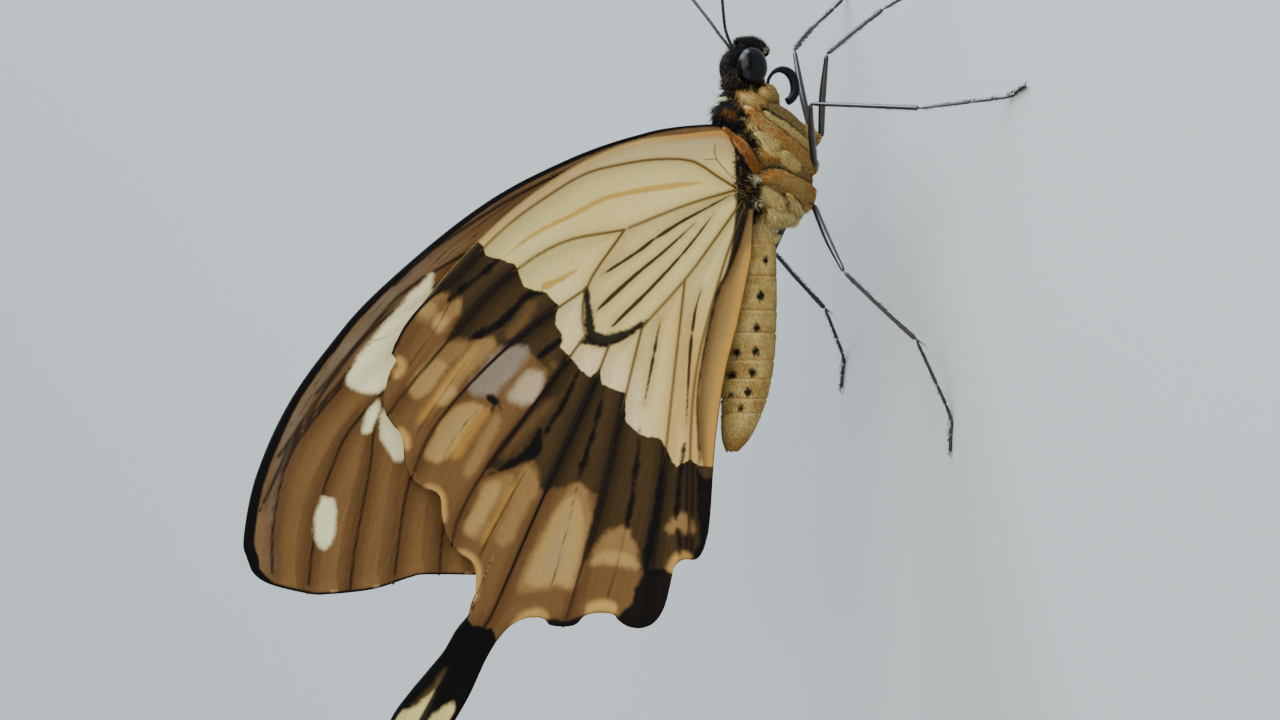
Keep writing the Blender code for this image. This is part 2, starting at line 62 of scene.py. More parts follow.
# Shapes shared with the solids, as points in millimetres
HEAD = ((11.75, 12.85, 0.5, 0.45), (11.5, 12.9, 1.0, 0.85), (11.0, 13.0, 1.5, 1.3), (10.2, 13.0, 1.85, 1.6),
        (9.3, 12.85, 1.75, 1.55))
THORAX = ((8.6, 12.65, 1.35, 1.25), (7.6, 12.55, 2.3, 2.05), (6.4, 11.75, 3.3, 2.6), (4.6, 10.95, 3.85, 2.9),
          (2.4, 10.75, 3.75, 2.95), (0.4, 10.6, 3.3, 2.75), (-0.9, 10.8, 2.85, 2.35))
ABDOMEN = ((-2.0, 11.95, 1.75, 1.65), (-4.0, 12.2, 1.95, 1.8), (-8.0, 12.3, 2.1, 1.85),
           (-12.0, 12.45, 2.05, 1.8), (-15.0, 12.8, 1.8, 1.55), (-17.6, 13.4, 1.25, 1.1),
           (-19.0, 13.85, 0.5, 0.45))
FORE_ROOT = (2.6, 14.1)
HIND_ROOT = (0.4, 14.25)
FORE_SIDE = (1.2, 0.45)
HIND_SIDE = (2.4, 1.42)
# The left pair stands nearer the middle plane and a little lower, so from the right one pair shows
LEFT_FORE_SIDE = (1.2, 0.0)
LEFT_HIND_SIDE = (2.4, 0.62)
LEFT_TUCK = 0.45
SIDE_FALL = 9.0
TAIL_SIDE = 0.45
LEFT_TAIL_SIDE = 0.1
TAIL_LEAN = (31.0, 35.0)
FORE_BASE = ((-2.6, 0.4), (-1.0, -0.3), (0.8, -0.5), (2.6, 0.2))
FORE_COSTA = ((-2.6, 0.4), (-3.1, 1.4), (-3.1, 3.0), (-2.7, 6.1), (-1.6, 10.2), (-0.2, 13.9), (2.0, 18.5),
              (4.6, 22.6), (7.7, 26.6), (10.4, 29.7), (12.9, 32.0), (17.5, 35.6), (22.8, 38.2), (27.5, 39.2),
              (29.1, 38.9))
FORE_MARGIN = ((29.1, 38.9), (30.1, 38.4), (30.9, 37.1), (31.6, 34.3), (31.7, 32.8), (31.4, 29.2),
               (30.6, 26.3), (30.4, 25.1), (30.5, 21.1), (30.6, 18.2), (30.3, 14.3), (29.4, 12.1))
FORE_INNER = ((2.6, 0.2), (3.4, 1.9), (9.0, 4.1), (18.0, 7.3), (26.0, 10.4), (29.4, 12.1))
FORE_VEINS = {
    "radius": ((-1.0, 0.4), (3.2, 10.4), (8.2, 18.9), (11.6, 23.5)),
    "subcosta": ((-1.4, 0.4), (-1.3, 7.0), (1.2, 15.2), (6.3, 24.2), (9.4, 27.8)),
    "R1": ((3.2, 10.4), (5.2, 18.4), (9.3, 26.3), (12.7, 29.7), (17.4, 33.9)),
    "R2": ((7.4, 17.6), (9.2, 24.4), (12.2, 29.0), (16.3, 32.6), (21.9, 36.8)),
    "R3": ((9.6, 20.9), (12.6, 28.0), (16.5, 32.0), (20.5, 35.4), (25.6, 38.0)),
    "R5": ((11.6, 23.5), (13.4, 28.0), (16.8, 31.9), (21.4, 35.6), (26.3, 36.9), (30.8, 37.0)),
    "M1": ((12.2, 23.3), (15.4, 26.8), (19.1, 30.5), (21.4, 32.0), (25.6, 33.5), (31.65, 34.3)),
    "M2": ((13.2, 22.3), (17.7, 28.3), (22.7, 29.5), (28.0, 30.55), (31.6, 31.0)),
    "M3": ((14.2, 19.9), (19.0, 24.0), (24.0, 26.5), (31.1, 27.6)),
    "Cu1": ((12.9, 18.1), (19.0, 21.3), (26.0, 23.5), (30.5, 24.0)),
    "Cu2": ((9.6, 14.2), (17.0, 17.4), (24.0, 19.1), (30.5, 19.7)),
    "2A": ((-0.2, 0.2), (7.5, 6.9), (18.0, 12.1), (30.3, 14.9)),
    "cubitus": ((-0.5, 0.2), (5.0, 8.2), (9.6, 14.2), (14.2, 19.9)),
    "cell end": ((11.6, 23.5), (13.2, 22.3), (14.2, 19.9)),
}
HIND_BASE = ((-4.1, 0.1), (-2.2, -0.9), (0.0, -1.1), (2.4, -1.0), (4.6, -0.9))
HIND_COSTA = ((-4.1, 0.1), (-4.9, 1.6), (-4.6, 4.5), (-4.0, 8.5), (-2.4, 12.6), (0.1, 16.7), (3.4, 20.8),
              (7.4, 24.8), (10.9, 27.5), (12.0, 27.9))
# The scalloped margin from the costa to the tail and from the tail to the inner edge
HIND_EDGE = ((12.0, 27.9), (12.6, 27.5), (13.4, 27.7), (13.9, 28.2), (15.0, 28.5), (15.9, 28.5),
             (16.5, 28.3), (17.3, 27.7), (17.8, 27.2), (18.7, 27.0), (20.0, 26.9), (21.1, 26.4),
             (21.7, 25.7), (22.0, 24.7), (22.5, 24.1), (23.7, 24.0), (25.2, 23.7), (26.1, 23.2),
             (26.7, 22.5), (27.2, 21.7), (28.0, 21.35), (29.3, 21.3), (30.5, 21.5), (31.3, 21.9))
HIND_EDGE_2 = ((33.2, 19.4), (32.2, 18.6), (31.6, 17.5), (31.5, 16.4), (31.7, 15.7), (32.1, 15.3),
               (32.25, 14.1), (32.1, 13.2), (31.5, 12.6), (31.3, 11.8), (31.3, 10.8), (31.5, 10.1),
               (32.0, 9.6), (32.4, 8.8), (32.5, 7.8), (32.1, 6.9), (30.9, 6.2), (29.5, 5.8), (28.6, 5.6),
               (27.9, 5.4), (27.4, 4.7), (27.4, 3.7), (26.7, 3.1), (25.4, 2.7))
TAIL_LEFT = ((31.3, 21.9), (32.4, 22.8), (34.0, 23.6), (35.5, 24.9), (36.8, 26.1), (38.7, 27.6),
             (41.6, 28.8), (42.9, 28.3), (43.4, 27.5))
TAIL_RIGHT = ((33.2, 19.4), (34.2, 19.9), (35.6, 20.6), (37.5, 21.6), (39.9, 23.2), (42.6, 25.3),
              (43.5, 26.5), (43.45, 27.3))
HIND_INNER = ((4.6, -0.9), (9.4, 0.2), (13.4, 1.3), (18.4, 2.1), (23.6, 2.5), (25.4, 2.7))
HIND_VEINS = {
    "Sc": ((-0.4, 0.2), (-1.5, 2.2), (-2.5, 4.0), (-2.6, 6.7), (-2.2, 9.5), (-1.4, 12.6), (0.5, 15.9),
           (2.3, 18.5), (4.1, 20.6), (6.1, 22.6), (8.0, 25.1), (10.0, 26.9), (12.0, 27.9)),
    "humeral": ((-0.9, 0.3), (-2.5, 1.9), (-3.2, 2.2), (-3.9, 2.1)),
    "humeral fork": ((-2.6, 3.6), (-2.7, 2.0)),
    "cell front": ((-0.6, -0.3), (0.8, 4.5), (2.7, 9.4)),
    "Rs": ((2.7, 9.4), (3.8, 14.6), (6.9, 19.5), (11.2, 23.7), (14.4, 26.6), (16.5, 28.3)),
    "M1": ((7.1, 12.4), (10.3, 17.3), (13.9, 21.5), (17.7, 24.8), (21.15, 26.45)),
    "M2": ((10.6, 12.5), (16.4, 17.2), (20.9, 20.8), (24.3, 22.8), (26.15, 23.25)),
    "M3": ((11.3, 10.6), (14.7, 12.1), (21.4, 15.3), (28.4, 18.7), (31.8, 20.4), (35.6, 23.0), (41.0, 26.4)),
    "CuA1": ((10.0, 8.0), (15.8, 9.5), (23.1, 11.3), (29.4, 13.3), (32.3, 14.2)),
    "CuA2": ((6.4, 4.6), (14.7, 5.6), (21.4, 6.4), (27.4, 7.3), (32.5, 8.0)),
    "2A": ((0.4, -0.4), (6.6, 1.9), (14.7, 3.9), (27.0, 4.3)),
    "cubitus": ((0.0, -0.4), (3.9, 2.6), (6.4, 4.6), (10.0, 8.0)),
    "cell end": ((2.7, 9.4), (7.1, 12.4), (10.6, 12.5), (11.3, 10.6), (10.0, 8.0)),
}
HEAD_DROP = 0.15
EYE_CENTRE = (10.15, 1.45, 12.88)
EYE_HALF = (1.45, 0.92, 1.26)
ANTENNA = ((11.2, 0.25, 13.4), (11.55, 0.25, 13.8), (12.1, 0.35, 14.2), (12.7, 0.64, 14.6),
           (13.6, 1.15, 15.05), (17.4, 3.9, 16.8), (22.0, 6.5, 18.7), (26.8, 8.6, 20.4))
PALP = ((10.9, 0.72, 11.5), (11.4, 0.75, 11.6), (11.8, 0.7, 11.9), (12.05, 0.6, 12.4), (12.0, 0.5, 13.0))
PROBOSCIS = ((8.5, 11.9), (8.4, 11.2), (8.8, 10.85), (9.4, 10.7), (9.9, 10.3), (10.12, 9.75), (10.0, 9.15),
             (9.6, 8.7), (9.0, 8.5), (8.4, 8.5), (7.9, 8.8), (7.65, 9.2))
# Hip, knee, ankle, where the foot comes down and its tip. Y is outward from the body
LEGS = {
    "fore_r": ((4.9, 1.5, 7.0), (11.1, 4.0, 7.8), (14.4, 7.0, 4.6), (17.0, 8.2, 0.9), (19.6, 9.0, 0.2)),
    "fore_l": ((4.7, 0.9, 6.4), (11.95, 4.0, 6.5), (13.9, 6.6, 3.6), (16.4, 7.6, 0.7), (18.8, 8.2, 0.2)),
    "mid_r": ((2.5, 1.9, 7.7), (7.2, 6.0, 10.2), (6.6, 14.0, 5.2), (7.3, 18.2, 0.8), (8.0, 20.8, 0.2)),
    "mid_l": ((2.5, 1.9, 7.2), (3.4, 7.2, 9.8), (3.2, 14.0, 5.0), (3.0, 18.2, 0.8), (2.8, 20.8, 0.2)),
    "hind_r": ((-0.2, 1.6, 7.7), (-5.4, 6.6, 7.7), (-10.5, 9.5, 3.1), (-16.0, 9.6, 0.7), (-18.9, 9.4, 0.2)),
    "hind_l": ((-0.2, 1.6, 7.7), (-3.6, 5.4, 7.6), (-8.0, 6.4, 2.6), (-11.6, 7.8, 0.6), (-14.2, 8.4, 0.2)),
}

# Markings of the hindwing's outer face, as (along, up) from its root
# The ragged line where the pale base of the wing meets the dark band, then round the rest of the wing
BAND_START = ((3.7, 21.0), (4.7, 20.5), (5.0, 19.4), (5.3, 18.2), (7.0, 17.4), (7.5, 15.6), (8.3, 14.7),
              (9.8, 14.9), (10.5, 14.4), (11.5, 14.5), (12.2, 13.8), (13.2, 12.8), (13.7, 12.1),
              (13.2, 11.4), (14.2, 11.2), (14.9, 9.4), (17.0, 9.3), (18.0, 8.1), (18.3, 6.6), (19.4, 6.0),
              (20.4, 5.2), (19.9, 4.2), (20.3, 3.5), (20.7, 1.5))
BEYOND_WING = ((50.0, 0.0), (50.0, 34.0), (10.0, 34.0), (2.0, 24.0))
BAND_END = ((7.4, 24.5), (7.5, 23.6), (7.8, 22.4), (8.8, 22.6), (10.7, 23.4), (10.9, 21.7), (10.6, 20.0),
            (11.3, 19.6), (11.4, 17.2), (12.6, 16.2), (13.4, 15.2), (15.4, 16.1), (17.9, 18.6), (20.3, 20.3),
            (20.6, 18.5), (19.4, 16.9), (21.0, 16.0), (22.0, 16.2), (21.9, 14.4), (21.5, 12.9), (22.6, 11.7),
            (24.5, 11.9), (27.1, 12.5), (26.2, 11.9), (25.1, 10.7), (24.8, 9.4), (25.2, 8.9), (27.4, 8.2),
            (28.6, 7.6), (28.6, 5.6))
PALE_PATCHES = (
    ((7.4, 24.5), (8.1, 25.3), (8.9, 26.1), (9.6, 25.9), (9.6, 25.0), (8.3, 24.2), (7.9, 23.5), (7.5, 23.9)),
    ((9.8, 24.8), (10.4, 24.3), (9.8, 23.6), (8.9, 22.6), (8.3, 22.2), (7.9, 22.4), (8.1, 23.0),
     (9.0, 24.0)),
    ((11.2, 23.9), (11.2, 22.0), (12.0, 22.4), (12.8, 23.4), (13.8, 24.2), (14.8, 25.0), (15.3, 25.9),
     (14.9, 26.6), (14.2, 26.6), (13.1, 25.9), (12.2, 25.0)),
    ((11.1, 21.5), (10.7, 19.8), (11.7, 20.0), (12.8, 21.0), (13.9, 22.2), (14.9, 23.0), (15.6, 23.6),
     (15.8, 24.2), (15.3, 24.6), (14.3, 23.8), (12.8, 22.8)),
    ((19.3, 25.3), (19.7, 25.0), (19.9, 24.0), (19.0, 23.0), (17.7, 22.0), (16.4, 21.0), (15.8, 20.7),
     (15.6, 22.0), (16.0, 23.0), (16.9, 24.0), (18.2, 24.7)),
    ((20.5, 22.2), (21.1, 21.8), (20.1, 20.9), (18.8, 20.2), (17.7, 19.5), (16.7, 19.3), (16.5, 19.8),
     (18.1, 20.8), (19.4, 21.6)),
    ((24.9, 22.4), (25.4, 22.0), (25.6, 21.2), (24.9, 20.7), (23.7, 19.9), (22.7, 19.2), (21.7, 18.5),
     (21.0, 18.1), (21.0, 19.0), (21.2, 20.1), (21.6, 20.8), (22.6, 21.2), (23.8, 21.8)),
    ((26.2, 18.5), (24.9, 17.9), (23.2, 17.0), (22.2, 16.2), (21.0, 16.4), (20.3, 17.0), (20.6, 17.6),
     (21.5, 17.9), (22.7, 18.3), (24.2, 19.0), (25.6, 19.7), (26.2, 19.2)),
    ((29.4, 18.1), (27.3, 17.2), (25.4, 16.1), (23.7, 15.0), (22.2, 13.9), (21.5, 13.1), (21.7, 12.6),
     (22.9, 12.2), (24.3, 11.8), (25.7, 12.0), (27.4, 12.6), (28.4, 12.9), (29.6, 13.5), (29.3, 14.6),
     (29.5, 16.1), (29.6, 17.0)),
    ((27.7, 12.1), (26.4, 11.7), (25.3, 10.7), (24.9, 9.5), (25.4, 8.9), (26.2, 8.5), (27.4, 8.2),
     (28.1, 8.3), (27.9, 9.8), (27.7, 10.9), (27.8, 11.8)),
    ((25.1, 6.2), (24.3, 5.6), (23.8, 4.9), (24.0, 4.2), (24.7, 3.8), (25.4, 3.8), (25.6, 4.5), (25.1, 5.1),
     (25.6, 5.6)),
)
# The palest parts of those patches
BRIGHT_PATCHES = (
    ((8.7, 25.9), (9.2, 25.6), (9.3, 25.0), (8.7, 24.5), (8.3, 24.8), (8.2, 25.5)),
    ((9.6, 24.7), (10.2, 24.5), (10.2, 24.0), (9.6, 23.6), (9.2, 23.8), (9.1, 24.3)),
    ((14.3, 26.5), (14.8, 26.4), (15.2, 25.9), (14.7, 25.0), (13.7, 24.2), (12.9, 23.7), (12.5, 24.0),
     (12.5, 24.8), (13.1, 25.7)),
    ((15.3, 24.5), (15.7, 24.1), (15.6, 23.6), (14.9, 22.8), (14.4, 23.0), (14.4, 23.8)),
    PALE_PATCHES[4],
    ((29.2, 17.4), (27.3, 16.7), (25.4, 15.7), (23.7, 14.7), (22.6, 13.7), (23.0, 12.8), (25.5, 12.6),
     (28.2, 13.3), (29.3, 13.7), (29.0, 14.6), (29.2, 16.1)),
    ((24.7, 22.2), (25.3, 21.6), (24.6, 20.9), (23.2, 20.0), (22.0, 19.3), (21.4, 19.4), (21.6, 20.4),
     (22.8, 21.1)),
    ((27.7, 12.0), (26.9, 11.7), (26.7, 10.7), (26.8, 9.6), (27.2, 8.7), (27.9, 8.4), (27.7, 9.8),
     (27.5, 10.9)),
)
LAVENDER_PATCH = ((14.3, 21.9), (15.0, 21.2), (15.0, 20.0), (13.9, 18.7), (12.6, 17.5), (11.3, 16.8),
                  (10.7, 16.9), (10.7, 17.9), (11.7, 19.4), (13.0, 20.8))
PINK_PATCH = ((15.1, 18.7), (15.6, 17.9), (15.6, 16.9), (14.7, 16.1), (13.5, 15.9), (13.3, 16.7),
              (13.7, 17.7))
BLACK_PATCHES = (
    ((31.9, 15.7), (31.6, 15.2), (31.7, 14.2), (31.6, 13.1), (31.6, 12.6), (32.8, 12.8), (33.0, 14.3),
     (32.7, 15.7)),
    ((31.8, 10.0), (31.2, 9.4), (30.5, 8.8), (29.1, 8.2), (28.2, 7.6), (28.0, 6.6), (28.3, 5.9), (29.0, 5.2),
     (31.2, 5.4), (33.2, 6.5), (33.4, 8.8), (32.8, 10.0)),
    ((20.4, 3.6), (21.3, 3.0), (21.0, 0.5), (25.2, 1.0), (28.2, 2.8), (27.3, 3.9), (25.8, 3.4), (23.4, 3.6)),
    ((9.2, 12.5), (10.2, 11.7), (10.5, 10.9), (11.5, 10.7), (11.3, 11.8), (11.2, 13.1), (10.7, 12.5)),
    ((17.3, 16.1), (18.5, 15.9), (19.6, 16.3), (20.2, 17.8), (20.9, 20.2), (20.1, 18.9), (18.9, 17.2)),
)
TAIL_BLACK = ((30.5, 22.4), (31.6, 21.8), (32.0, 21.5), (32.0, 21.0), (32.3, 20.5), (32.2, 20.0),
              (33.2, 19.4), (34.0, 18.6), (45.0, 22.0), (45.0, 31.0), (36.0, 29.0))
TAIL_CREAM = (
    ((39.4, 28.2), (38.6, 27.5), (38.2, 26.8), (37.9, 25.8), (37.3, 24.8), (36.8, 24.1), (37.5, 24.3),
     (38.9, 25.1), (40.2, 26.6), (40.8, 27.8), (40.0, 28.4)),
    ((37.6, 22.5), (37.9, 23.3), (38.3, 24.0), (38.9, 24.6), (40.6, 25.4), (41.6, 25.4), (40.6, 24.4),
     (39.2, 23.0), (38.5, 22.4)),
)
TAIL_SHEEN = (0.1, 0.42, ((35.3, 23.2), (36.4, 23.9), (37.6, 25.0), (38.6, 26.2)))
# Strokes: half width at the start and at the end, then the points of the line
OCHRE_STROKES = (
    (0.24, 0.13, ((-0.9, 3.1), (-0.5, 6.5), (0.3, 10.6), (1.7, 13.6), (3.2, 16.7), (4.9, 19.0))),
    (0.06, 0.34, ((5.5, 12.9), (6.1, 13.8), (6.6, 14.8), (7.1, 16.0))),
)
CELL_STROKES = (
    (0.05, 0.18, ((-0.1, 0.7), (1.0, 2.8), (2.1, 4.9), (3.4, 7.0))),
    (0.16, 0.1, ((3.3, 6.9), (4.4, 8.4), (6.0, 11.0))),
    (0.07, 0.19, ((2.1, 3.7), (4.2, 6.1), (6.1, 8.5), (8.8, 11.6))),
    (0.07, 0.18, ((1.4, 2.2), (4.2, 4.5), (7.1, 7.3), (10.0, 10.4))),
    (0.05, 0.15, ((9.4, 6.5), (10.6, 6.75), (12.0, 7.0))),
    (0.15, 0.05, ((11.9, 7.0), (13.4, 7.3), (15.8, 7.8))),
    (0.05, 0.16, ((7.0, 3.2), (8.6, 3.7), (10.4, 4.0))),
    (0.16, 0.05, ((10.3, 4.0), (13.0, 4.25), (17.5, 4.5))),
)
BLACK_STROKES = (
    (0.26, 0.44, ((7.0, 12.45), (8.4, 12.3), (9.6, 12.15), (10.9, 12.0))),
    (0.56, 0.12, ((10.6, 12.3), (10.9, 11.2), (10.7, 9.9), (10.2, 8.7), (9.3, 7.4))),
    (0.16, 0.3, ((5.0, 19.4), (6.4, 21.2), (7.5, 22.8), (8.2, 23.6))),
    (0.26, 0.34, ((7.4, 15.8), (7.8, 17.3), (9.2, 18.7), (10.3, 20.4), (10.9, 21.9))),
    (0.26, 0.28, ((10.8, 14.3), (11.5, 15.3), (12.3, 16.4))),
    (0.2, 0.32, ((15.05, 20.5), (15.35, 20.0), (15.7, 19.5))),
    (0.22, 0.05, ((15.5, 19.6), (16.3, 19.1))),
    (0.2, 0.05, ((15.6, 19.7), (16.3, 20.0))),
    (0.1, 0.22, ((13.0, 12.8), (13.9, 13.4), (15.6, 14.2), (18.4, 16.1))),
    (0.08, 0.3, ((14.5, 11.0), (17.0, 11.6), (19.4, 12.4), (21.3, 13.0))),
    (0.09, 0.3, ((17.4, 8.1), (20.2, 8.4), (22.3, 8.7), (25.0, 9.15))),
    (0.1, 0.3, ((18.6, 4.6), (20.7, 4.9), (24.4, 5.3))),
    (0.2, 0.42, ((20.4, 6.4), (22.3, 6.6), (25.0, 7.1), (28.6, 7.8))),
    (0.16, 0.2, ((25.0, 5.2), (26.2, 5.0), (27.2, 5.0))),
)
FOLD_STROKES = (
    (0.05, 0.09, ((20.8, 12.9), (25.0, 13.9), (29.5, 15.3))),
    (0.08, 0.12, ((24.9, 9.2), (28.0, 10.0), (30.6, 10.8))),
    (0.05, 0.1, ((8.0, 23.2), (10.2, 24.5), (11.7, 25.7), (13.3, 26.9))),
    (0.05, 0.1, ((12.3, 21.8), (15.0, 23.9), (18.0, 26.0))),
    (0.05, 0.1, ((16.0, 21.0), (18.0, 22.8), (20.4, 24.2))),
    (0.06, 0.12, ((20.6, 17.2), (24.0, 19.3), (27.2, 21.2))),
)
BROWN_STROKES = (
    (0.4, 0.55, ((15.3, 15.1), (16.9, 16.8), (18.3, 18.2), (19.6, 19.5))),
    (0.3, 0.35, ((8.2, 16.6), (9.6, 17.6), (10.8, 18.8))),
    (0.3, 0.25, ((13.2, 14.6), (12.6, 15.3))),
)
# Soft golden streaks beside the folds of the outer field, and the pale margin between the veins
GOLD_STROKES = (
    (0.28, 0.3, ((11.5, 21.2), (12.6, 22.2), (14.1, 23.6), (15.8, 24.8), (17.1, 25.9))),
    (0.36, 0.5, ((16.0, 20.2), (17.1, 21.2), (18.4, 22.2), (19.7, 23.1))),
    (0.26, 0.3, ((21.4, 18.0), (23.0, 19.0), (24.6, 19.9), (26.0, 20.8))),
)
EDGE_STROKES = (
    (0.3, 0.3, ((12.2, 27.5), (12.9, 27.1), (13.7, 27.7))),
    (0.28, 0.28, ((17.5, 27.4), (18.1, 26.8), (19.0, 26.7))),
    (0.3, 0.2, ((21.7, 25.4), (22.1, 24.3), (22.9, 23.9), (24.3, 23.8))),
    (0.3, 0.16, ((26.4, 22.7), (27.1, 21.6), (27.8, 21.1), (29.0, 21.2), (30.3, 21.6))),
    (0.28, 0.32, ((32.4, 18.5), (31.5, 17.6), (31.2, 16.4), (31.5, 15.5))),
    (0.4, 0.44, ((31.2, 12.5), (30.8, 11.6), (30.8, 10.7), (31.2, 10.0))),
    (0.3, 0.24, ((28.7, 5.8), (27.8, 5.6), (27.1, 5.0), (27.2, 4.1))),
)
FOLD_LINE = ((-0.4, -0.7), (0.6, -0.2), (3.6, 0.4), (5.9, 1.2), (7.2, 1.9), (9.7, 2.6), (12.6, 3.2),
             (15.5, 3.6), (20.5, 3.4))
FOLD_BRIGHT = (0.12, 0.1, ((3.6, -0.8), (6.6, -0.3), (9.0, 0.2), (11.6, 0.9), (14.4, 1.6), (19.0, 2.2)))
INNER_FOLD = ((1.6, 0.0), (3.6, 0.4), (5.9, 1.2), (7.2, 1.9), (9.7, 2.6), (12.6, 3.2), (15.5, 3.6),
              (19.0, 3.5), (21.0, 3.0), (21.0, -3.0), (0.0, -3.0))
# The black root of the hindwing, together with painted shadow where the wing meets the body
ROOT_BLACK_AND_SHADOW = ((-5.6, 0.9), (-4.2, 0.95), (-3.6, 0.6), (-2.4, 0.35), (-0.6, 0.3), (0.6, 0.1), (1.0, -3.0),
             (-5.6, -3.0))
COSTAL_ZONE = ((-2.5, 3.9), (-2.6, 6.7), (-2.2, 9.5), (-1.4, 12.6), (0.5, 15.9), (2.3, 18.5), (-2.0, 20.0),
               (-9.0, 12.0), (-9.0, 0.0), (-3.2, -1.0))
# Markings of the forewing's outer face, as (along, up) from its root
FORE_WHITE = (
    ((8.2, 24.5), (9.4, 25.9), (11.3, 27.8), (13.5, 29.7), (16.0, 31.4), (16.8, 30.6), (17.1, 29.4),
     (16.8, 28.2), (15.8, 27.4), (14.0, 26.4), (12.0, 25.4), (10.3, 24.6)),
    ((17.4, 28.7), (17.9, 29.3), (18.6, 29.8), (19.9, 30.0), (19.9, 29.4), (19.2, 28.9), (18.2, 28.6)),
    ((18.2, 28.4), (19.3, 28.7), (20.4, 28.6), (21.5, 27.9), (22.1, 27.3), (21.6, 26.4), (20.6, 26.2),
     (19.3, 26.6), (18.4, 27.4)),
    ((24.2, 32.9), (24.9, 33.4), (26.3, 33.8), (27.4, 33.8), (28.3, 33.4), (28.5, 32.9), (27.8, 32.3),
     (26.4, 32.0), (25.1, 32.1), (24.5, 32.5)),
)
FORE_CELL_PALE = ((-0.5, 2.0), (2.0, 7.0), (6.0, 12.0), (12.6, 19.0), (13.8, 20.4), (12.4, 22.4),
                  (10.6, 21.8), (6.6, 15.6), (2.6, 8.0))
FORE_STRIP_VEINS = (
    (0.05, 0.05, ((13.9, 30.1), (13.2, 29.0), (12.7, 27.4))),
    (0.05, 0.05, ((0.6, 14.6), (5.8, 22.4), (9.4, 26.3), (12.9, 29.7), (15.4, 32.0), (17.5, 33.9))),
    (0.05, 0.05, ((17.5, 33.9), (20.3, 35.5), (23.7, 36.7), (26.5, 37.1), (30.9, 37.1))),
    (0.06, 0.05, ((3.0, 19.6), (7.6, 26.3), (10.1, 29.0), (12.9, 31.4), (15.8, 33.3), (18.1, 34.6),
                  (20.4, 36.6))),
    (0.05, 0.04, ((4.0, 18.8), (7.4, 23.9), (12.2, 29.3), (16.3, 32.7), (19.0, 34.9))),
    (0.04, 0.04, ((-0.6, 11.5), (2.6, 18.4), (6.6, 24.3), (9.6, 27.6), (12.6, 30.5))),
)
FORE_FLECKS = (
    (0.1, 0.1, ((31.45, 32.6), (31.5, 31.8))), (0.1, 0.1, ((31.3, 29.3), (31.1, 28.6))),
    (0.1, 0.1, ((30.6, 25.8), (30.5, 25.1))), (0.1, 0.1, ((30.35, 22.0), (30.4, 21.3))),
    (0.1, 0.1, ((30.5, 17.4), (30.5, 16.7))),
)
# Painted shade on the darker half of each space between two veins, on one side of its fold
FORE_FOLD_SHADE = (
    (0.3, 0.56, ((17.9, 30.1), (19.7, 31.4), (22.5, 33.1), (25.3, 34.2), (27.9, 34.6), (31.8, 34.8))),
    (0.3, 0.62, ((20.0, 29.5), (21.6, 29.8), (25.0, 30.6), (28.0, 31.2), (32.0, 31.6))),
    (0.3, 0.68, ((19.4, 26.2), (22.9, 27.3), (25.4, 27.7), (28.9, 28.1), (31.6, 28.3))),
    (0.3, 0.74, ((17.0, 22.0), (21.0, 23.8), (25.2, 24.4), (27.2, 24.6), (31.0, 24.7))),
    (0.3, 0.6, ((14.0, 18.0), (19.0, 20.0), (25.0, 21.4), (31.0, 21.8))),
)
SMUDGE = (0.3, 0.34, ((7.2, 24.9), (10.5, 28.4), (14.0, 31.5), (17.4, 34.3), (20.0, 35.8), (23.1, 36.7),
                      (26.5, 37.1)))

# Markings of the body, on its side
# Raised lobes of the thorax: finish, half widths at the two ends, rise, then points of (X, Z)
LOBES = (
    ("cream", 0.3, 0.42, 0.2, ((17.75, 13.85), (17.3, 13.3), (16.8, 12.7))),
    ("tan", 0.5, 0.4, 0.36, ((17.0, 12.2), (16.6, 11.2))),
    ("ochre", 0.62, 0.5, 0.4, ((16.35, 13.5), (15.85, 13.1), (15.5, 12.5))),
    ("tan", 0.52, 0.5, 0.95, ((16.2, 11.9), (16.0, 10.3), (15.4, 9.0), (14.2, 7.8), (12.9, 7.3))),
    ("cream", 0.28, 0.42, 0.26, ((14.75, 12.0), (13.8, 10.5), (12.8, 9.2), (11.9, 7.7))),
    ("ochre", 0.36, 0.62, 0.46, ((14.95, 13.45), (13.8, 12.3), (12.5, 10.6), (11.6, 9.3), (10.9, 7.8))),
    ("cream", 0.36, 0.34, 0.32, ((14.15, 13.5), (13.55, 13.15))),
    ("cream", 0.48, 0.62, 0.44, ((12.95, 12.75), (12.25, 11.8))),
    ("ochre", 0.46, 0.42, 0.38, ((11.7, 12.7), (11.6, 11.5))),
    ("cream", 0.5, 0.5, 0.4, ((11.5, 10.8), (10.85, 9.9))),
    ("ochre", 0.46, 0.84, 0.52, ((9.95, 12.5), (9.95, 11.3), (9.3, 9.8), (8.4, 7.6))),
    ("cream", 0.52, 0.52, 0.42, ((8.75, 12.25), (8.0, 11.1))),
    ("cream", 0.36, 0.34, 0.28, ((8.4, 10.3), (7.6, 9.4))),
    ("cream", 0.6, 0.6, 0.25, ((7.0, 11.4), (6.7, 9.4))),
    ("cream", 0.6, 0.5, 0.6, ((6.5, 9.3), (5.9, 9.7), (5.2, 10.4))),
    ("white", 0.17, 0.15, 0.05, ((16.1, 14.55), (15.95, 14.45))),
    ("orange", 0.2, 0.2, 0.05, ((15.1, 14.45), (14.9, 14.3))),
    ("white", 0.26, 0.26, 0.15, ((9.95, 13.3), (9.85, 12.95))),
)
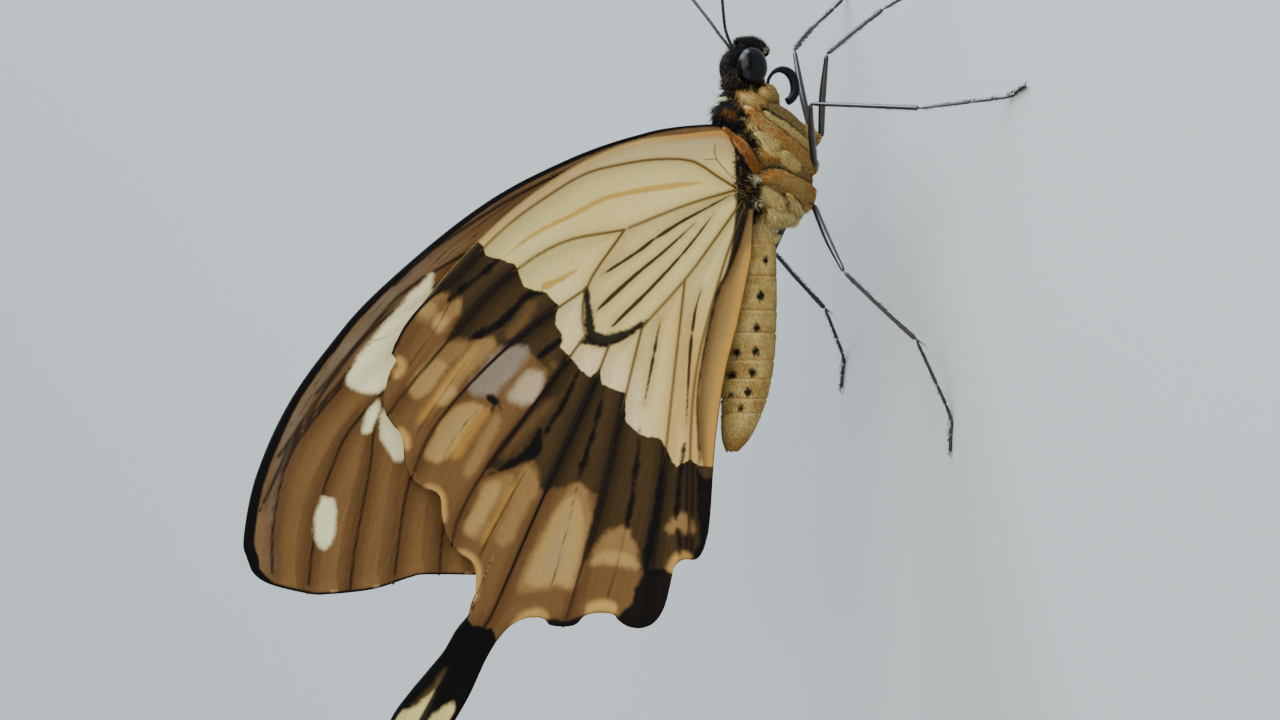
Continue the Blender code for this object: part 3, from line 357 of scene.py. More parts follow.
# Small pale marks on each side of the head, farther out than `out` from the middle plane
HEAD_MARKS = ((0.09, 0.07, ((19.2, 14.15), (18.95, 13.95))), (0.08, 0.06, ((18.0, 14.15), (17.6, 14.3))))
DARK_STROKES = (
    (0.16, 0.08, ((15.3, 12.6), (15.15, 12.35), (14.7, 11.6))),
    (0.08, 0.1, ((15.0, 12.2), (14.1, 10.4), (13.3, 9.2), (12.6, 7.9))),
    (0.16, 0.05, ((10.3, 12.9), (10.8, 11.7), (10.5, 10.7), (9.95, 9.4), (9.8, 7.8))),
    (0.3, 0.2, ((9.3, 12.9), (8.5, 12.95), (7.7, 12.4), (7.3, 11.9))),
    (0.07, 0.05, ((8.9, 11.2), (8.6, 10.6), (7.4, 10.3))),
)
BLACK_BACK = ((22.0, 11.0), (19.9, 11.6), (19.4, 12.6), (18.9, 13.1), (18.2, 13.4), (17.9, 13.7),
              (17.4, 13.7), (16.7, 13.75),
              (15.9, 13.95), (15.3, 13.95), (14.6, 13.35), (14.4, 13.8), (13.5, 13.55), (12.9, 13.05),
              (12.2, 12.85), (11.9, 13.4), (10.6, 13.2), (10.3, 12.95), (9.6, 12.85), (9.2, 12.75),
              (8.2, 12.75), (7.4, 12.3), (6.7, 12.6), (6.0, 13.6), (6.0, 18.0), (22.0, 18.0))
SCLERITE = ((5.5, 2.3, 15.7), (4.9, 2.6, 15.1), (4.2, 2.8, 14.5), (3.5, 2.86, 14.0), (2.8, 2.78, 13.45),
            (2.3, 2.6, 12.95))
ROOT_HAIR = ((13.6, 14.6), (12.6, 14.0), (11.6, 13.6), (10.8, 13.1), (9.4, 12.8), (8.0, 12.8), (7.6, 13.4),
             (8.2, 14.5), (10.0, 14.7), (12.6, 14.75))
ABDOMEN_SPOTS = ((3.7, 11.8, 0.28), (1.0, 12.3, 0.32), (-1.4, 12.6, 0.27), (-3.2, 12.7, 0.3),
                 (-4.8, 12.9, 0.32), (-6.3, 13.2, 0.29), (-7.5, 13.7, 0.2), (-3.3, 14.0, 0.25),
                 (-5.0, 14.2, 0.26), (-6.5, 14.3, 0.15))
ABDOMEN_RINGS = (4.9, 2.5, -0.1, -1.8, -3.9, -5.3, -6.8, -7.9)

MARKS = ("cream", "ochre", "tan", "orange", "white", "black", "brown", "on_abdomen")


def linear(red, green, blue):
    """Linear light from 0 to 255 screen values."""
    return tuple(((v / 255 + 0.055) / 1.055) ** 2.4 if v > 10 else v / 255 / 12.92
                 for v in (red, green, blue))


def length_field(name, note, default, unit="LENGTH"):
    """A size in millimetres, kept in metres so that the panel shows units."""
    return FloatProperty(name=name, description=note, default=default * MM, min=0.0, unit=unit, precision=5)


def colour_field(name, note, *screen):
    return FloatVectorProperty(name=name, description=note, default=linear(*screen), min=0.0, max=1.0,
                               size=3, subtype="COLOR")


class SwallowtailSizes(PropertyGroup):
    """Sizes that a maker may change."""
    membrane: length_field("Membrane", "Thickness of a wing between its veins", 0.12)
    vein_width: length_field("Vein width", "Width of a main vein near the root", 0.3)
    pleat: length_field("Pleat", "How far the membrane sinks between two veins", 0.13)
    wing_rows: IntProperty(name="Wing rows", description="Points from root to margin", default=210, min=20)
    wing_columns: IntProperty(name="Wing columns", description="Points along the margin", default=200,
                              min=40)
    antenna_radius: length_field("Antenna", "Radius of the antenna's shaft", 0.12)
    club_radius: length_field("Club", "Radius of the antenna's club", 0.3)
    femur_radius: length_field("Femur", "Radius of the upper leg", 0.24)
    tibia_radius: length_field("Tibia", "Radius of the lower leg", 0.165)
    tarsus_radius: length_field("Tarsus", "Radius of the foot", 0.13)
    back_hair: length_field("Back hair", "Length of the hair on the back", 0.85)
    side_hair: length_field("Side hair", "Length of the hair on the sides of the thorax", 0.44)
    belly_scales: length_field("Abdomen scales", "Length of the scales on the abdomen", 0.3)


class SwallowtailColours(PropertyGroup):
    """Colours of the wings, the body and the floor."""
    cream: colour_field("Cream", "Pale base of the wings", 194, 175, 112)
    warm_cream: colour_field("Warm cream", "Yellower parts of the wing base", 196, 158, 92)
    sand: colour_field("Sand", "Pale patches between the outer veins", 134, 106, 60)
    olive: colour_field("Olive", "Dark band of the hindwing", 42, 31, 14)
    brown: colour_field("Brown", "Outer field of both wings", 84, 56, 28)
    tan: colour_field("Tan", "Lighter brown between veins", 120, 89, 51)
    ochre: colour_field("Ochre", "Golden stripes", 168, 132, 56)
    orange: colour_field("Orange", "Orange plates and folds", 152, 96, 38)
    gold: colour_field("Gold", "Golden streaks beside the folds", 172, 126, 56)
    pale: colour_field("Pale patch", "Brightest patches between the outer veins", 150, 124, 80)
    blush: colour_field("Blush", "Pinkish white before the dark band", 214, 192, 148)
    black: colour_field("Black", "Veins, edges and hair", 7, 5, 5)
    lavender: colour_field("Lavender", "Grey bloom on the hindwing", 132, 120, 102)
    white: colour_field("White", "White marks of the forewing", 214, 208, 162)
    fur_cream: colour_field("Fur cream", "Pale fur of the thorax", 186, 162, 98)
    fur_ochre: colour_field("Fur ochre", "Golden fur of the thorax", 160, 106, 42)
    fur_tan: colour_field("Fur tan", "Olive tan fur of the thorax", 164, 136, 78)
    abdomen: colour_field("Abdomen", "Scales of the abdomen", 158, 124, 62)
    floor: colour_field("Floor", "Pale floor", 156, 159, 158)


# Curves and distances
def curve(points, count):
    """Count points spread evenly along a Catmull-Rom curve: between two knots the place is the cubic
    whose slope at each knot is half the step from the knot before to the knot after."""
    knots = np.asarray(points, float)
    if len(knots) == 2:
        return knots[0] + np.linspace(0, 1, count)[:, None] * (knots[1] - knots[0])
    padded = np.vstack((2 * knots[0] - knots[1], knots, 2 * knots[-1] - knots[-2]))
    share = np.linspace(0.0, 1.0, 24, endpoint=False)[None, :, None]
    p0, p1, p2, p3 = (padded[k:k + len(knots) - 1, None] for k in range(4))
    fine = 0.5 * (2 * p1 + (p2 - p0) * share + (2 * p0 - 5 * p1 + 4 * p2 - p3) * share ** 2
                  + (3 * p1 - p0 - 3 * p2 + p3) * share ** 3)
    fine = np.vstack((fine.reshape(-1, knots.shape[1]), knots[-1]))
    return respaced(fine, np.linspace(0.0, 1.0, count))


def respaced(line, shares):
    """Points of a line at the given shares of its length."""
    along = np.concatenate(([0.0], np.cumsum(np.linalg.norm(np.diff(line, axis=0), axis=1))))
    return np.column_stack([np.interp(np.asarray(shares) * along[-1], along, line[:, k])
                            for k in range(line.shape[1])])


def run_length(line):
    return np.linalg.norm(np.diff(np.asarray(line, float), axis=0), axis=1).sum()


def nearest(points, line):
    """Distance from each point to a line of straight runs, and the share of the line at the nearest
    place: on each run the point is projected and held between the run's two ends."""
    line = np.asarray(line, float)
    best = np.full(len(points), 1e9)
    place = np.zeros(len(points))
    step = np.linalg.norm(np.diff(line, axis=0), axis=1)
    before = np.concatenate(([0.0], np.cumsum(step)))
    for k in range(len(line) - 1):
        run = line[k + 1] - line[k]
        share = np.clip((points - line[k]) @ run / max(run @ run, 1e-12), 0.0, 1.0)
        gap = np.linalg.norm(points - line[k] - share[:, None] * run, axis=1)
        closer = gap < best
        best[closer] = gap[closer]
        place[closer] = (before[k] + share[closer] * step[k]) / before[-1]
    return best, place


def depth_in(points, outline, rounded=True):
    """How far each point lies inside a closed outline, negative outside: the distance to the outline
    with the sign found by counting crossings of a ray."""
    outline = np.asarray(outline, float)
    if rounded:
        ring = np.vstack((outline[-1], outline, outline[:2]))
        outline = curve(ring, 6 * len(ring))
        outline = outline[6:-11]
    gap, _ = nearest(points, np.vstack((outline, outline[:1])))
    within = np.zeros(len(points), bool)
    after = np.roll(outline, -1, axis=0)
    for one, two in zip(outline, after):
        crosses = (one[1] > points[:, 1]) != (two[1] > points[:, 1])
        rise = two[1] - one[1] if abs(two[1] - one[1]) > 1e-12 else 1e-12
        within ^= crosses & (points[:, 0] < (two[0] - one[0]) * (points[:, 1] - one[1]) / rise + one[0])
    return np.where(within, gap, -gap)


def stroke_depth(points, stroke, scale=1.0):
    """How far each point lies inside a stroke whose half width runs from its first to its second size."""
    start, end, line = stroke
    gap, place = nearest(points, curve(line, 4 * len(line)))
    taper = np.sqrt(np.clip(np.minimum(place, 1.0 - place) / 0.14, 0.0, 1.0))
    return scale * (start + (end - start) * place) * taper - gap


def border_depth(points, line, start, end):
    """How far each point lies inside a border along a line, its width running from start to end."""
    gap, place = nearest(points, line)
    return start + (end - start) * place - gap


def along_edge(points, edge, widths):
    """How far each point lies inside a border whose width passes through the widths given."""
    gap, place = nearest(points, curve(edge, 90))
    return np.interp(place, np.linspace(0.0, 1.0, len(widths)), widths) - gap


def deepest(points, parts, measure):
    return np.max([measure(points, part) for part in parts], axis=0)


def ease(x, low, high):
    """A smooth step from 0 at low to 1 at high: t times t times (3 - 2t)."""
    t = np.clip((x - low) / (high - low), 0.0, 1.0)
    return t * t * (3 - 2 * t)


# Meshes
def add_mesh(name, points, faces, material, replaces=(), slot=None, attributes=(), uv=None, smooth=True,
             uv_name="OFBake", extra_material=None, face_material=None):
    """Put points in millimetres and faces of one size into a mesh on the body root."""
    points = np.asarray(points, np.float32)
    faces = np.asarray(faces, np.int32)
    mesh = bpy.data.meshes.new(name)
    sides = faces.shape[1]
    mesh.vertices.add(len(points))
    mesh.vertices.foreach_set("co", ((points + (CENTRE_X, 0.0, 0.0)) * MM).astype(np.float32).ravel())
    mesh.loops.add(faces.size)
    mesh.loops.foreach_set("vertex_index", faces.ravel())
    mesh.polygons.add(len(faces))
    mesh.polygons.foreach_set("loop_start", np.arange(0, faces.size, sides, dtype=np.int32))
    mesh.polygons.foreach_set("loop_total", np.full(len(faces), sides, dtype=np.int32))
    mesh.update(calc_edges=True)
    mesh.polygons.foreach_set("use_smooth", np.full(len(faces), smooth))
    for key, values in dict(attributes).items():
        layer = mesh.attributes.new(key, "FLOAT", "POINT")
        layer.data.foreach_set("value", np.asarray(values, np.float32))
    if uv is not None:
        layer = mesh.uv_layers.new(name=uv_name)
        layer.data.foreach_set("uv", np.asarray(uv, np.float32)[faces.ravel()].ravel())
    mesh.materials.append(material)
    if extra_material is not None:
        mesh.materials.append(extra_material)
        mesh.polygons.foreach_set("material_index", np.asarray(face_material, np.int32))
    mesh.validate()
    item = bpy.data.objects.new(name, mesh)
    bpy.context.scene.collection.objects.link(item)
    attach(item, "root")
    if replaces:
        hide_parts(*replaces)
    return item


def grid_faces(rows, columns, wrap):
    """Four-sided faces of a grid of points stored row by row, its columns joined round when wrapped."""
    index = np.arange(rows * columns).reshape(rows, columns)
    right = np.roll(index, -1, axis=1)
    if not wrap:
        index, right = index[:, :-1], right[:, :-1]
    return np.stack((index[:-1], right[:-1], right[1:], index[1:]), -1).reshape(-1, 4)


def mirrored(points, faces):
    """The same shape on the other side, with its faces turned outward again."""
    return points * (1.0, -1.0, 1.0), faces[:, ::-1]


def tube(path, radii, sides, flat=1.0, around=None):
    """A profile carried along a path: each ring is the place plus radius times (cos turn x across +
    sin turn x up), and a last ring of almost no radius closes each end. Gives points and faces."""
    path = np.asarray(path, float)
    heading = np.gradient(path, axis=0)
    heading /= np.linalg.norm(heading, axis=1)[:, None] + 1e-12
    guide = np.asarray(around if around is not None else (0.0, 0.0, 1.0))
    across = np.cross(heading, guide)
    across /= np.linalg.norm(across, axis=1)[:, None] + 1e-12
    up = np.cross(across, heading)
    turns = np.linspace(0, 2 * math.pi, sides, endpoint=False)
    ring = (np.cos(turns)[None, :, None] * across[:, None]
            + flat * np.sin(turns)[None, :, None] * up[:, None])
    radii = np.asarray(radii, float)
    radii = radii[:, None, None] if radii.ndim == 1 else radii[:, :, None]
    points = path[:, None] + radii * ring
    ends = [path[:1, None] + 0.02 * (points[:1] - path[:1, None]),
            path[-1:, None] + 0.02 * (points[-1:] - path[-1:, None])]
    points = np.concatenate((ends[0], points, ends[1]))
    rows = len(points)
    return points.reshape(-1, 3), grid_faces(rows, sides, True)


def domed(count, start=0.08, end=0.08):
    """Shares along a tube with closer rings at its two ends, and the dome's share of the radius."""
    share = np.linspace(0.0, 1.0, count)
    dome = np.sqrt(np.clip(1 - (1 - np.clip(share / start, 0, 1)) ** 2, 0.02, 1))
    return share, dome * np.sqrt(np.clip(1 - (1 - np.clip((1 - share) / end, 0, 1)) ** 2, 0.02, 1))


def joined(parts):
    """Several shapes of four-sided faces as one list of points and one of faces."""
    points, faces, first = [], [], 0
    for some_points, some_faces in parts:
        points.append(some_points)
        faces.append(np.asarray(some_faces) + first)
        first += len(some_points)
    return np.vstack(points), np.vstack(faces)


# Materials
class Value:
    """A number in a material, so that shader maths reads as ordinary maths."""

    def __init__(self, paint, socket):
        self.paint, self.socket = paint, socket

    def maths(self, operation, *others):
        return self.paint.number("ShaderNodeMath", {"operation": operation},
                                 {0: self, **dict(enumerate(others, 1))})

    def __add__(self, other):
        return self.maths("ADD", other)

    def __sub__(self, other):
        return self.maths("SUBTRACT", other)

    def __mul__(self, other):
        return self.maths("MULTIPLY", other)

    def __truediv__(self, other):
        return self.maths("DIVIDE", other)

    def __pow__(self, other):
        return self.maths("POWER", other)

    def __rsub__(self, other):
        return (self * -1.0).maths("ADD", other)

    __radd__, __rmul__ = __add__, __mul__

    def clamp(self):
        return self.paint.number("ShaderNodeClamp", {}, {0: self})

    def step(self, low, high):
        """0 below low, 1 above high, smooth between."""
        return self.paint.number("ShaderNodeMapRange", {"interpolation_type": "SMOOTHSTEP"},
                                 {"Value": self, "From Min": low, "From Max": high})


class Paint:
    """Builds one material around a Principled shader."""

    def __init__(self, name, roughness, **constants):
        self.material = bpy.data.materials.new(name)
        self.material.use_nodes = True
        self.tree = self.material.node_tree
        self.shader = self.tree.nodes["Principled BSDF"]
        self.shader.inputs["Roughness"].default_value = roughness
        for key, value in constants.items():
            self.shader.inputs[key.replace("_", " ")].default_value = value

    def node(self, kind, settings, inputs):
        """One node: its settings first, then the values or links of its sockets."""
        made = self.tree.nodes.new(kind)
        for key, value in settings.items():
            setattr(made, key, value)
        for key, value in inputs.items():
            socket = made.inputs[key]
            if isinstance(value, Value):
                value = value.socket
            if isinstance(value, bpy.types.NodeSocket):
                self.tree.links.new(value, socket)
            else:
                socket.default_value = value
        return made

    def number(self, kind, settings, inputs, out=0):
        return Value(self, self.node(kind, settings, inputs).outputs[out])

    def place(self):
        return self.node("ShaderNodeTexCoord", {}, {}).outputs["Object"]

    def field(self, name):
        return self.number("ShaderNodeAttribute", {"attribute_name": name}, {}, "Fac")

    def stretched(self, scale, turn=(0.0, 0.0, 0.0), source=None):
        return self.node("ShaderNodeMapping", {}, {"Vector": source or self.place(), "Scale": scale,
                                                   "Rotation": turn}).outputs[0]

    def noise(self, scale, detail=3.0, vector=None, roughness=0.5):
        return self.number("ShaderNodeTexNoise", {}, {"Vector": vector or self.place(), "Scale": scale,
                                                      "Detail": detail, "Roughness": roughness})

    def cells(self, scale, vector=None, out="Distance", settings=None):
        return self.number("ShaderNodeTexVoronoi", settings or {}, {"Vector": vector or self.place(),
                                                                    "Scale": scale}, out)

    def mix(self, share, one, two):
        """A colour between two colours."""
        made = self.node("ShaderNodeMix", {"data_type": "RGBA"}, {"Factor": share})
        for index, value in ((6, one), (7, two)):
            if isinstance(value, bpy.types.NodeSocket):
                self.tree.links.new(value, made.inputs[index])
            else:
                made.inputs[index].default_value = (*value, 1.0)
        return made.outputs[2]

    def shade(self, colour, factor):
        """A colour made lighter or darker by a number."""
        made = self.node("ShaderNodeVectorMath", {"operation": "SCALE"}, {0: colour, "Scale": factor})
        return made.outputs[0]

    def finish(self, colour, height=None, depth=0.02, strength=1.0, roughness=None):
        """Link the colour, the relief in millimetres and the roughness to the shader."""
        self.tree.links.new(colour, self.shader.inputs["Base Color"])
        if roughness is not None:
            self.tree.links.new(roughness.socket, self.shader.inputs["Roughness"])
        if height is not None:
            bump = self.node("ShaderNodeBump", {}, {"Height": height, "Distance": depth * MM,
                                                    "Strength": strength})
            self.tree.links.new(bump.outputs[0], self.shader.inputs["Normal"])
        return self.material


def scale_rows(paint):
    """Overlapping wing scales: fine cells a tenth of a millimetre across, longer along the wing."""
    return paint.cells(9000.0, paint.stretched((1.0, 1.0, 0.6)))


def wing_material(hind):
    """A wing's two faces: outline fields kept on the mesh are given a ragged, scaly edge by noise and
    laid over each other, palest first, with the upper side's plain pattern on the inner face."""
    c = bpy.context.scene.swallowtail_colours
    paint = Paint("hindwing scales" if hind else "forewing scales", 0.62, Specular_IOR_Level=0.09)
    rough_edge = paint.noise(3200.0, 2.0) - 0.5
    soft_edge = paint.noise(900.0, 3.0) - 0.5
    rays = paint.node("ShaderNodeUVMap", {"uv_map": "Rays"}, {}).outputs[0]
    streaks = paint.noise(16.0, 4.0, paint.stretched((0.7, 8.0, 1.0), source=rays))
    cloud = paint.noise(230.0, 4.0)
    grain = paint.cells(8000.0, paint.stretched((1.0, 1.0, 0.6)), "Color")
    from_vein = paint.field("from_vein") + soft_edge * 0.02

    def edge(name, soft=0.1, wobble=0.12):
        return (paint.field(name) + rough_edge * wobble + soft_edge * wobble * 2.0).step(-soft, soft)

    # lift is 0 on a vein and 1 well away from it. It lightens the membrane toward the middle of each space
    # between veins as a painted highlight, and leaves it darker by the veins as painted shade
    lift = from_vein.step(0.05, 1.3)
    if hind:
        band = edge("band", 0.08, 0.18)
        cream = paint.mix((cloud.step(0.35, 0.75) * 0.3 + paint.field("warm") * 0.85).clamp(), c.cream,
                          c.warm_cream)
        cream = paint.mix(paint.field("blush") * 0.6, cream, c.blush)
        # Painted highlight: the pale base is lighter away from the veins
        cream = paint.shade(cream, lift * 0.18 + 0.84 + (streaks - 0.5) * 0.1)
        face = paint.mix(edge("costal", 0.9, 0.2) * 0.6, cream, paint.mix(cloud * 0.6, c.lavender, c.gold))
        gold = paint.mix(paint.field("near_root"), paint.mix(streaks, c.warm_cream, c.tan),
                         paint.mix(0.5, c.orange, c.gold))
        face = paint.mix(edge("costal_edge", 0.26, 0.16) * 0.9, face, gold)
        inner = paint.mix(paint.field("inner_edge").step(-0.5, 0.5), c.sand, c.gold)
        inner = paint.mix(paint.field("fold_line").step(-0.9, 0.0) * 0.7, inner, c.brown)
        face = paint.mix(edge("fold_band", 0.2, 0.1), face, inner)
        face = paint.mix(edge("fold_bright", 0.12, 0.1) * 0.7, face, c.gold)
        face = paint.mix(edge("cell_halo", 0.4, 0.1) * 0.4, face, c.sand)
        face = paint.mix(edge("ochre", 0.1, 0.06) * 0.9, face, c.ochre)
        face = paint.mix(from_vein.step(0.3, 0.1) * 0.45, face, paint.mix(0.5, c.ochre, c.tan))
        face = paint.mix(from_vein.step(0.16, 0.05) * 0.7, face, paint.mix(0.5, c.brown, c.olive))
        # Painted highlight: the dark band is lighter and browner away from the veins
        olive = paint.mix((streaks.step(0.2, 0.9) * lift * 0.24).clamp(), c.olive, c.brown)
        olive = paint.shade(olive, lift * 0.6 + 0.85)
        olive = paint.mix(edge("brown_patch", 0.5, 0.2) * 0.6, olive, paint.mix(streaks, c.brown, c.tan))
        face = paint.mix(band, face, olive)
        # Painted highlight: the outer field and its pale patches are lighter away from the veins
        outer = paint.mix((lift * 0.4 + (streaks - 0.45) * 0.5).clamp(), c.brown, c.tan)
        outer = paint.mix(edge("pale", 0.3, 0.2) * (lift * 0.3 + 0.7), outer,
                          paint.mix(streaks, c.tan, c.sand))
        bright = paint.mix(paint.field("bright").step(0.2, 1.4), paint.mix(0.3, c.sand, c.warm_cream),
                           c.pale)
        outer = paint.mix(edge("bright", 0.3, 0.2) * (lift * 0.3 + 0.7), outer, bright)
        outer = paint.mix(edge("lavender", 0.4, 0.3) * 0.85, outer, c.lavender)
        outer = paint.mix(edge("pink", 0.4, 0.3) * 0.7, outer, paint.mix(0.5, c.lavender, c.blush))
        outer = paint.mix(edge("gold", 0.35, 0.1) * 0.55, outer, c.gold)
        face = paint.mix(edge("outer", 0.3, 0.4), face, outer)
        face = paint.mix(edge("fold", 0.08, 0.05) * 0.75, face, c.olive)
        face = paint.mix(edge("cell", 0.07, 0.05) * 0.95, face, paint.mix(0.4, c.black, c.olive))
        in_band = band * paint.field("outer").step(0.6, -0.4)
        face = paint.mix(from_vein.step(0.45, 0.14) * in_band * 0.8, face, c.black)
        face = paint.mix(from_vein.step(0.3, 0.1) * in_band * 0.95, face, c.black)
        face = paint.mix(from_vein.step(0.24, 0.06) * band * 0.85, face, paint.mix(0.3, c.black, c.brown))
        face = paint.mix(paint.field("rim").step(0.16, 0.04) * 0.8, face, c.olive)
        face = paint.mix(edge("edge_light", 0.34, 0.1) * 0.8, face, paint.mix(0.5, c.warm_cream, c.gold))
        face = paint.mix(edge("black", 0.18, 0.3) * 0.97, face, c.black)
        face = paint.mix(edge("fold_line", 0.14, 0.05) * 0.95, face, c.black)
        flecks = paint.cells(2600.0, None, "Color").step(0.93, 0.98)
        tail = paint.mix(flecks * 0.5, c.black, c.sand)
        tail = paint.mix(edge("tail_sheen", 0.5, 0.2) * 0.45, tail, c.sand)
        tail = paint.mix(edge("tail_cream", 0.22, 0.2), tail, c.cream)
        tail = paint.mix(from_vein.step(0.45, 0.2) * 0.96, tail, c.black)
        tail = paint.mix(paint.field("rim").step(0.5, 0.25), tail, c.black)
        face = paint.mix(edge("tail", 0.1, 0.16), face, tail)
        # Black at the wing's root: partly its own colour, partly painted shadow from the body
        face = paint.mix(edge("root_black_and_shadow", 0.12, 0.1), face, c.black)
    else:
        # Painted highlight: the forewing's ground is lighter away from the veins
        ground = paint.mix((lift * 0.55 + (streaks - 0.45) * 0.5).clamp(), c.brown, c.tan)
        ground = paint.shade(ground, (cloud - 0.5) * 0.2 + 1.0)
        face = paint.mix(edge("costal", 0.35, 0.16) * 0.22, ground, paint.mix(cloud, c.brown, c.lavender))
        face = paint.mix(edge("cell_pale", 0.5, 0.3) * 0.3, face, c.sand)
        # Painted shade on one side of each fold between the veins
        face = paint.mix(edge("folds", 0.14, 0.05) * 0.32, face, c.olive)
        face = paint.mix(edge("smudge", 0.3, 0.1) * 0.5, face, paint.mix(cloud, c.olive, c.lavender))
        on_white = edge("white", 0.2, 0.2)
        face = paint.mix(on_white, face, paint.mix(edge("white", 0.45, 0.2), c.pale, c.white))
        face = paint.mix(edge("strip_veins", 0.06, 0.04) * 0.8, face, c.olive)
        face = paint.mix(from_vein.step(0.2, 0.05) * (1.0 - on_white) * 0.85, face,
                         paint.mix(0.4, c.black, c.olive))
        face = paint.mix(edge("black", 0.1, 0.06), face, c.black)
        face = paint.mix(edge("fleck", 0.07, 0.05) * 0.7, face, c.pale)
    upper = paint.mix(cloud.step(0.3, 0.7), c.warm_cream, c.cream)
    upper = paint.mix(edge("upper_black", 0.25, 0.4), upper, c.black)
    face = paint.mix(paint.field("inner_face").step(0.3, 0.7), face, upper)
    face = paint.shade(face, grain * 0.16 + 0.92)
    return paint.finish(face, paint.noise(5200.0, 2.0) + scale_rows(paint) * 0.8, 0.012, 0.5)


def vein_material(hind):
    """Veins, olive tan over the pale base of the wing and black over its dark outer part."""
    c = bpy.context.scene.swallowtail_colours
    paint = Paint("hindwing veins" if hind else "forewing veins", 0.75, Specular_IOR_Level=0.1)
    base = paint.mix(paint.noise(900.0).step(0.3, 0.7) * 0.4, paint.mix(0.78, c.ochre, c.olive), c.brown)
    colour = paint.mix(paint.field("dark"), base, c.black)
    return paint.finish(paint.mix(paint.field("white"), colour, c.white), paint.noise(7000.0), 0.008, 0.5)


def body_colour(paint, c):
    """Colour of skin and fur from the markings kept on the mesh, the same for both."""
    cloud = paint.noise(700.0, 3.0)
    rough_edge = (paint.noise(2600.0, 2.0) - 0.5) * 0.3

    def share(name, low=-0.12, high=0.12):
        return (paint.field(name) + rough_edge).step(low, high)

    colour = paint.mix(cloud.step(0.3, 0.7), c.fur_tan, c.fur_cream)
    colour = paint.mix(share("on_abdomen"), colour, paint.mix(cloud.step(0.3, 0.7), c.abdomen, c.fur_cream))
    colour = paint.mix(share("tan"), colour, c.fur_tan)
    colour = paint.mix(share("ochre"), colour, paint.mix(cloud.step(0.3, 0.75), c.fur_ochre, c.fur_tan))
    colour = paint.mix(share("cream"), colour, c.fur_cream)
    # Painted shade: brown where the lobe dome is low, in the creases between the thorax's lobes and at their
    # rims
    colour = paint.mix(paint.field("dome_for_painted_shade").step(0.5, 0.0) * 0.62, colour, c.brown)
    colour = paint.mix(share("brown", -0.6, 0.9) * 0.8, colour, paint.mix(0.5, c.brown, c.fur_ochre))
    # Black hair and skin, with a painted olive sheen on the hairs whose random tone is high
    colour = paint.mix(share("black"), colour,
                       paint.mix(paint.field("tone").step(0.55, 1.0) * 0.6, c.black, c.olive))
    colour = paint.mix(share("white"), colour, c.white)
    dark_orange = paint.shade(c.orange, 0.62)
    colour = paint.mix(share("orange"), colour, paint.mix(cloud.step(0.3, 0.7) * 0.6, dark_orange, c.orange))
    return colour


def skin_material():
    c = bpy.context.scene.swallowtail_colours
    paint = Paint("skin under fur", 0.7, Specular_IOR_Level=0.16)
    colour = paint.shade(body_colour(paint, c), paint.noise(1800.0) * 0.3 + 0.75)
    plates = paint.noise(1300.0, 4.0) + scale_rows(paint)
    return paint.finish(colour, plates, 0.04, 0.6)


def fur_material():
    c = bpy.context.scene.swallowtail_colours
    paint = Paint("fur", 0.6, Specular_IOR_Level=0.2)
    # Painted shade: each hair is darker toward its root and lighter toward its tip; tone varies at random
    tip = paint.field("tip")
    colour = paint.shade(body_colour(paint, c), tip * 0.3 + 0.76 + (paint.field("tone") - 0.5) * 0.42)
    return paint.finish(colour, paint.noise(9000.0, 1.0), 0.006, 0.4)


def eye_material():
    paint = Paint("eye", 0.2, Specular_IOR_Level=0.18)
    facets = paint.cells(11000.0)
    low = paint.noise(500.0)
    colour = paint.mix(low.step(0.45, 0.8) * 0.5, (0.0012, 0.0012, 0.002), (0.006, 0.004, 0.003))
    return paint.finish(colour, facets, 0.006, 0.3)


def horn_material(name, dark, light, roughness, ring=0.0, coat=0.0, shine=0.5):
    """Hard glossy skin: two colours mottled together, with faint rings along X where ring is given."""
    paint = Paint(name, roughness, Specular_IOR_Level=shine, Coat_Weight=coat, Coat_Roughness=0.2)
    mottled = paint.noise(1600.0, 4.0)
    colour = paint.mix(mottled.step(0.35, 0.75), dark, light)
    height = paint.noise(6000.0, 2.0)
    if ring:
        rings = paint.number("ShaderNodeTexWave", {"bands_direction": "X"},
                             {"Vector": paint.place(), "Scale": ring, "Distortion": 0.6}, "Fac")
        colour = paint.mix(rings.step(0.7, 0.95) * 0.3, colour, light)
        height = height * 0.5 + rings
    return paint.finish(colour, height, 0.012, 0.6)


def floor_material():
    c = bpy.context.scene.swallowtail_colours
    paint = Paint("floor", 0.75, Specular_IOR_Level=0.2)
    colour = paint.shade(paint.mix(0.0, c.floor, c.floor), paint.noise(6.0, 2.0) * 0.06 + 0.97)
    return paint.finish(colour, paint.noise(900.0), 0.02, 0.2)


# Wings
def wing_side(along, up, side, tail_side=TAIL_SIDE):
    """Distance from the middle plane: the margin's distance plus what is left of the root's, which
    fades as e to the minus (up / fall) squared; past the forewings the tails are drawn together."""
    root, margin = side
    open_side = margin + (root - margin) * np.exp(-(np.clip(up, 0.0, None) / SIDE_FALL) ** 2)
    drawn = ease(along, *TAIL_LEAN)
    return open_side + (tail_side - open_side) * drawn


def hind_margin(columns):
    """The hindwing's margin with the tail's opening as one straight stretch, and its two columns."""
    before, after = run_length(HIND_EDGE), run_length(HIND_EDGE_2)
    opening = run_length((HIND_EDGE[-1], HIND_EDGE_2[0]))
    per_mm = columns / (before + after + 1.35 * opening)
    first, gap = int(before * per_mm), int(1.35 * opening * per_mm)
    across = curve((HIND_EDGE[-1], HIND_EDGE_2[0]), gap + 1)[:-1]
    line = np.vstack((curve(HIND_EDGE, first + 1)[:-1], across, curve(HIND_EDGE_2, int(after * per_mm))))
    return line, first, first + gap


